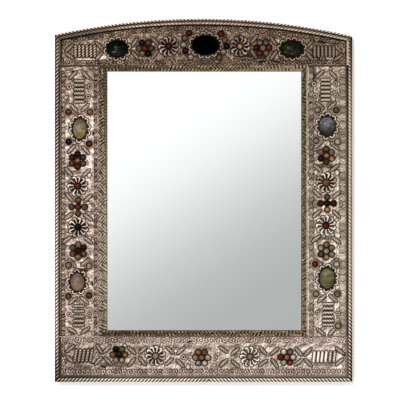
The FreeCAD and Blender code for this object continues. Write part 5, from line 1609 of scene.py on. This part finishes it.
class MIRROR_OT_core(bpy.types.Operator):
    """Wooden core, card and hardboard"""

    bl_idname = "mirror.core"
    bl_label = "Core and back"

    def execute(self, context):
        level, upright = (0.12, 1, 1), (1, 1, 0.12)
        cover(("bottom_rail", "top_rail"), wood_material("pine_level", level))
        pieces = ("left_stile", "right_stile", "corner_dowels")
        cover(pieces, wood_material("pine_upright", upright))
        cover(("slip_bottom", "slip_top"), wood_material("stained_level", level, STAIN))
        cover(("slip_left", "slip_right"), wood_material("stained_upright", upright, STAIN))
        cover(("card_filler",), board_material("grey_card", colours().card, 300))
        cover(("backing_board",), board_material("pressed_board", colours().hardboard, 380))
        return {"FINISHED"}


class MIRROR_OT_fittings(bpy.types.Operator):
    """Turn buttons, hangers, screws and pins"""

    bl_idname = "mirror.fittings"
    bl_label = "Fittings"

    def execute(self, context):
        zinc = colours().zinc
        words = ("turn_", "hanger_", "button_")
        names = [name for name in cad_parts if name.startswith(words)]
        cover(names, steel_material("zinc_plate", zinc))
        cover(("edge_pins",), steel_material("pin_heads", shades(zinc, 0.6, 1)[0]))
        return {"FINISHED"}


# Stage

# Middle of the picture, and millimetres of one of its units and of the camera's sensor.
PICTURE_MIDDLE = 200
PICTURE_UNIT = 1.5
SENSOR = 36
# In metres: camera, the card that the glass reflects, wall and floor.
CAMERA_FAR = 6
FIELD = 0.6
CARD_FAR = 8
CARD_HALF = 1.6
CARD_FROM = -0.75
CARD_TO = 0.6
CARD_GLOW = 1.06
CARD_GREYS = (
    (0.35, 255), (0.39, 253), (0.433, 248), (0.493, 239), (0.569, 223), (0.658, 204),
    (0.705, 196), (0.747, 189), (0.835, 180), (0.94, 178),
)
WIDE = 2.5
FLOOR = -0.4
FLOOR_END = -3
CEILING = 2.4
WALL_GAP = 0.001
WALL_GLOW = 0.27
ROOM_LIGHT = 0.48
# Lamps: place, width in metres and power in watts.
LAMPS = (("key_lamp", (-0.4, -2.9, 0.83), 0.5, 51), ("side_lamp", (-2, -2.2, 1.5), 0.9, 18))


def flat_piece(name, corners, item):
    mesh = bpy.data.meshes.new(name)
    mesh.from_pydata(corners, [], [[0, 1, 2, 3]])
    mesh.materials.append(item)
    made = put(name, mesh)
    return made


def mottled(nodes, scale, share):
    """Matt wall paint, a little uneven."""
    wall = tuple(colours().wall)
    dull = tuple(value * share for value in wall)
    nodes.set(Base_Color=nodes.blend(nodes.noise(scale, 2), wall, dull), Roughness=0.9)


def wall_material():
    """White wall seen by the camera from its front only; it takes the mirror's shadow."""
    nodes = Nodes("wall_paint")
    mottled(nodes, 12, 0.99)
    nodes.set(Specular_IOR_Level=0.1, Emission_Color=(1, 1, 1), Emission_Strength=WALL_GLOW)
    behind = nodes.node("ShaderNodeNewGeometry").outputs["Backfacing"]
    shown = nodes.math("MULTIPLY", nodes.seen(), nodes.math("SUBTRACT", 1, behind))
    clear = nodes.node("ShaderNodeBsdfTransparent")
    nodes.mix(shown, clear, nodes.shader, nodes.tree.nodes["Material Output"])
    return nodes.material


def card_material():
    """Studio card that the glass reflects, white above and to the left, grey below."""
    nodes = Nodes("studio_card")
    slope = nodes.math("MULTIPLY", nodes.split("X"), 0.53)
    drop = nodes.math("MULTIPLY", nodes.split("Z"), -0.85)
    share = nodes.spread(nodes.math("ADD", slope, drop), 0, 1, CARD_FROM, CARD_TO)
    tint = nodes.ramp(share, [(at, srgb(grey, grey, grey)) for at, grey in CARD_GREYS])
    glow = nodes.node("ShaderNodeEmission", {"Color": tint, "Strength": CARD_GLOW})
    clear = nodes.node("ShaderNodeBsdfTransparent")
    camera = nodes.node("ShaderNodeLightPath").outputs["Is Camera Ray"]
    nodes.mix(camera, glow, clear, nodes.tree.nodes["Material Output"])
    return nodes.material


def area_lamp(name, spot, target, size, power):
    data = bpy.data.lights.new(name, "AREA")
    data.size = size
    data.energy = power
    made = put(name, data)
    made.location = spot
    direction = Vector(target) - Vector(spot)
    made.rotation_euler = direction.to_track_quat("-Z", "Y").to_euler()


class MIRROR_OT_stage(bpy.types.Operator):
    """Wall, floor, lamps and camera"""

    bl_idname = "mirror.stage"
    bl_label = "Stage"

    def execute(self, context):
        scene = context.scene
        middle_x = (LEFT_EDGE + (PICTURE_MIDDLE - PICTURE_COLUMNS[0]) * PICTURE_UNIT) * MM
        middle_z = (APEX - (PICTURE_MIDDLE - PICTURE_ROWS[0]) * PICTURE_UNIT) * MM

        corners = ((-WIDE, FLOOR), (WIDE, FLOOR), (WIDE, CEILING), (-WIDE, CEILING))
        flat_piece("wall", [(x, WALL_GAP, z) for x, z in corners], wall_material())
        floor = Nodes("floor_paint")
        mottled(floor, 14, 0.98)
        corners = ((-WIDE, FLOOR_END), (WIDE, FLOOR_END), (WIDE, WIDE), (-WIDE, WIDE))
        flat_piece("floor", [(x, y, FLOOR) for x, y in corners], floor.material)
        half = CARD_HALF
        corners = [(-half, 0, -half), (-half, 0, half), (half, 0, half), (half, 0, -half)]
        card = flat_piece("studio_card", corners, card_material())
        card.location = (middle_x, -CARD_FAR, middle_z)

        scene.world = scene.world or bpy.data.worlds.new("studio")
        nodes = Nodes("studio", scene.world)
        nodes.tree.nodes.clear()
        light, seen = (
            nodes.node("ShaderNodeBackground", {"Strength": strength, "Color": (1, 1, 1)})
            for strength in (ROOM_LIGHT, 1)
        )
        output = nodes.node("ShaderNodeOutputWorld")
        nodes.mix(nodes.seen(), light, seen, output)

        for name, spot, size, power in LAMPS:
            area_lamp(name, spot, (0, 0, middle_z), size, power)

        data = bpy.data.cameras.new("front_camera")
        data.sensor_width = SENSOR
        data.lens = SENSOR * CAMERA_FAR / FIELD
        data.clip_end = 5 * CAMERA_FAR
        camera = put("front_camera", data)
        camera.location = (middle_x, -CAMERA_FAR, middle_z)
        camera.rotation_euler = (math.pi / 2, 0, 0)
        scene.camera = camera
        scene.view_settings.view_transform = "Standard"
        return {"FINISHED"}


OPERATORS = (
    MIRROR_OT_sheets,
    MIRROR_OT_ropes,
    MIRROR_OT_bevels,
    MIRROR_OT_round_stones,
    MIRROR_OT_ovals,
    MIRROR_OT_glass,
    MIRROR_OT_core,
    MIRROR_OT_fittings,
    MIRROR_OT_stage,
)


class MIRROR_PT_panel(bpy.types.Panel):
    """Steps and settings of the mirror"""

    bl_idname = "MIRROR_PT_panel"
    bl_label = "Mirror"
    bl_space_type = "VIEW_3D"
    bl_region_type = "UI"
    bl_category = "Mirror"

    def draw(self, context):
        layout = self.layout
        for item in OPERATORS:
            layout.operator(item.bl_idname)
        for group in (context.scene.mirror_sizes, context.scene.mirror_colours):
            for name in group.__annotations__:
                layout.prop(group, name)


CLASSES = (MirrorSizes, MirrorColours) + OPERATORS + (MIRROR_PT_panel,)


def register():
    for item in CLASSES:
        bpy.utils.register_class(item)
    bpy.types.Scene.mirror_sizes = bpy.props.PointerProperty(type=MirrorSizes)
    bpy.types.Scene.mirror_colours = bpy.props.PointerProperty(type=MirrorColours)


def unregister():
    del bpy.types.Scene.mirror_colours
    del bpy.types.Scene.mirror_sizes
    for item in reversed(CLASSES):
        bpy.utils.unregister_class(item)


def main():
    register()
    for item in OPERATORS:
        group, name = item.bl_idname.split(".")
        getattr(getattr(bpy.ops, group), name)()


if __name__ == "__main__":
    main()
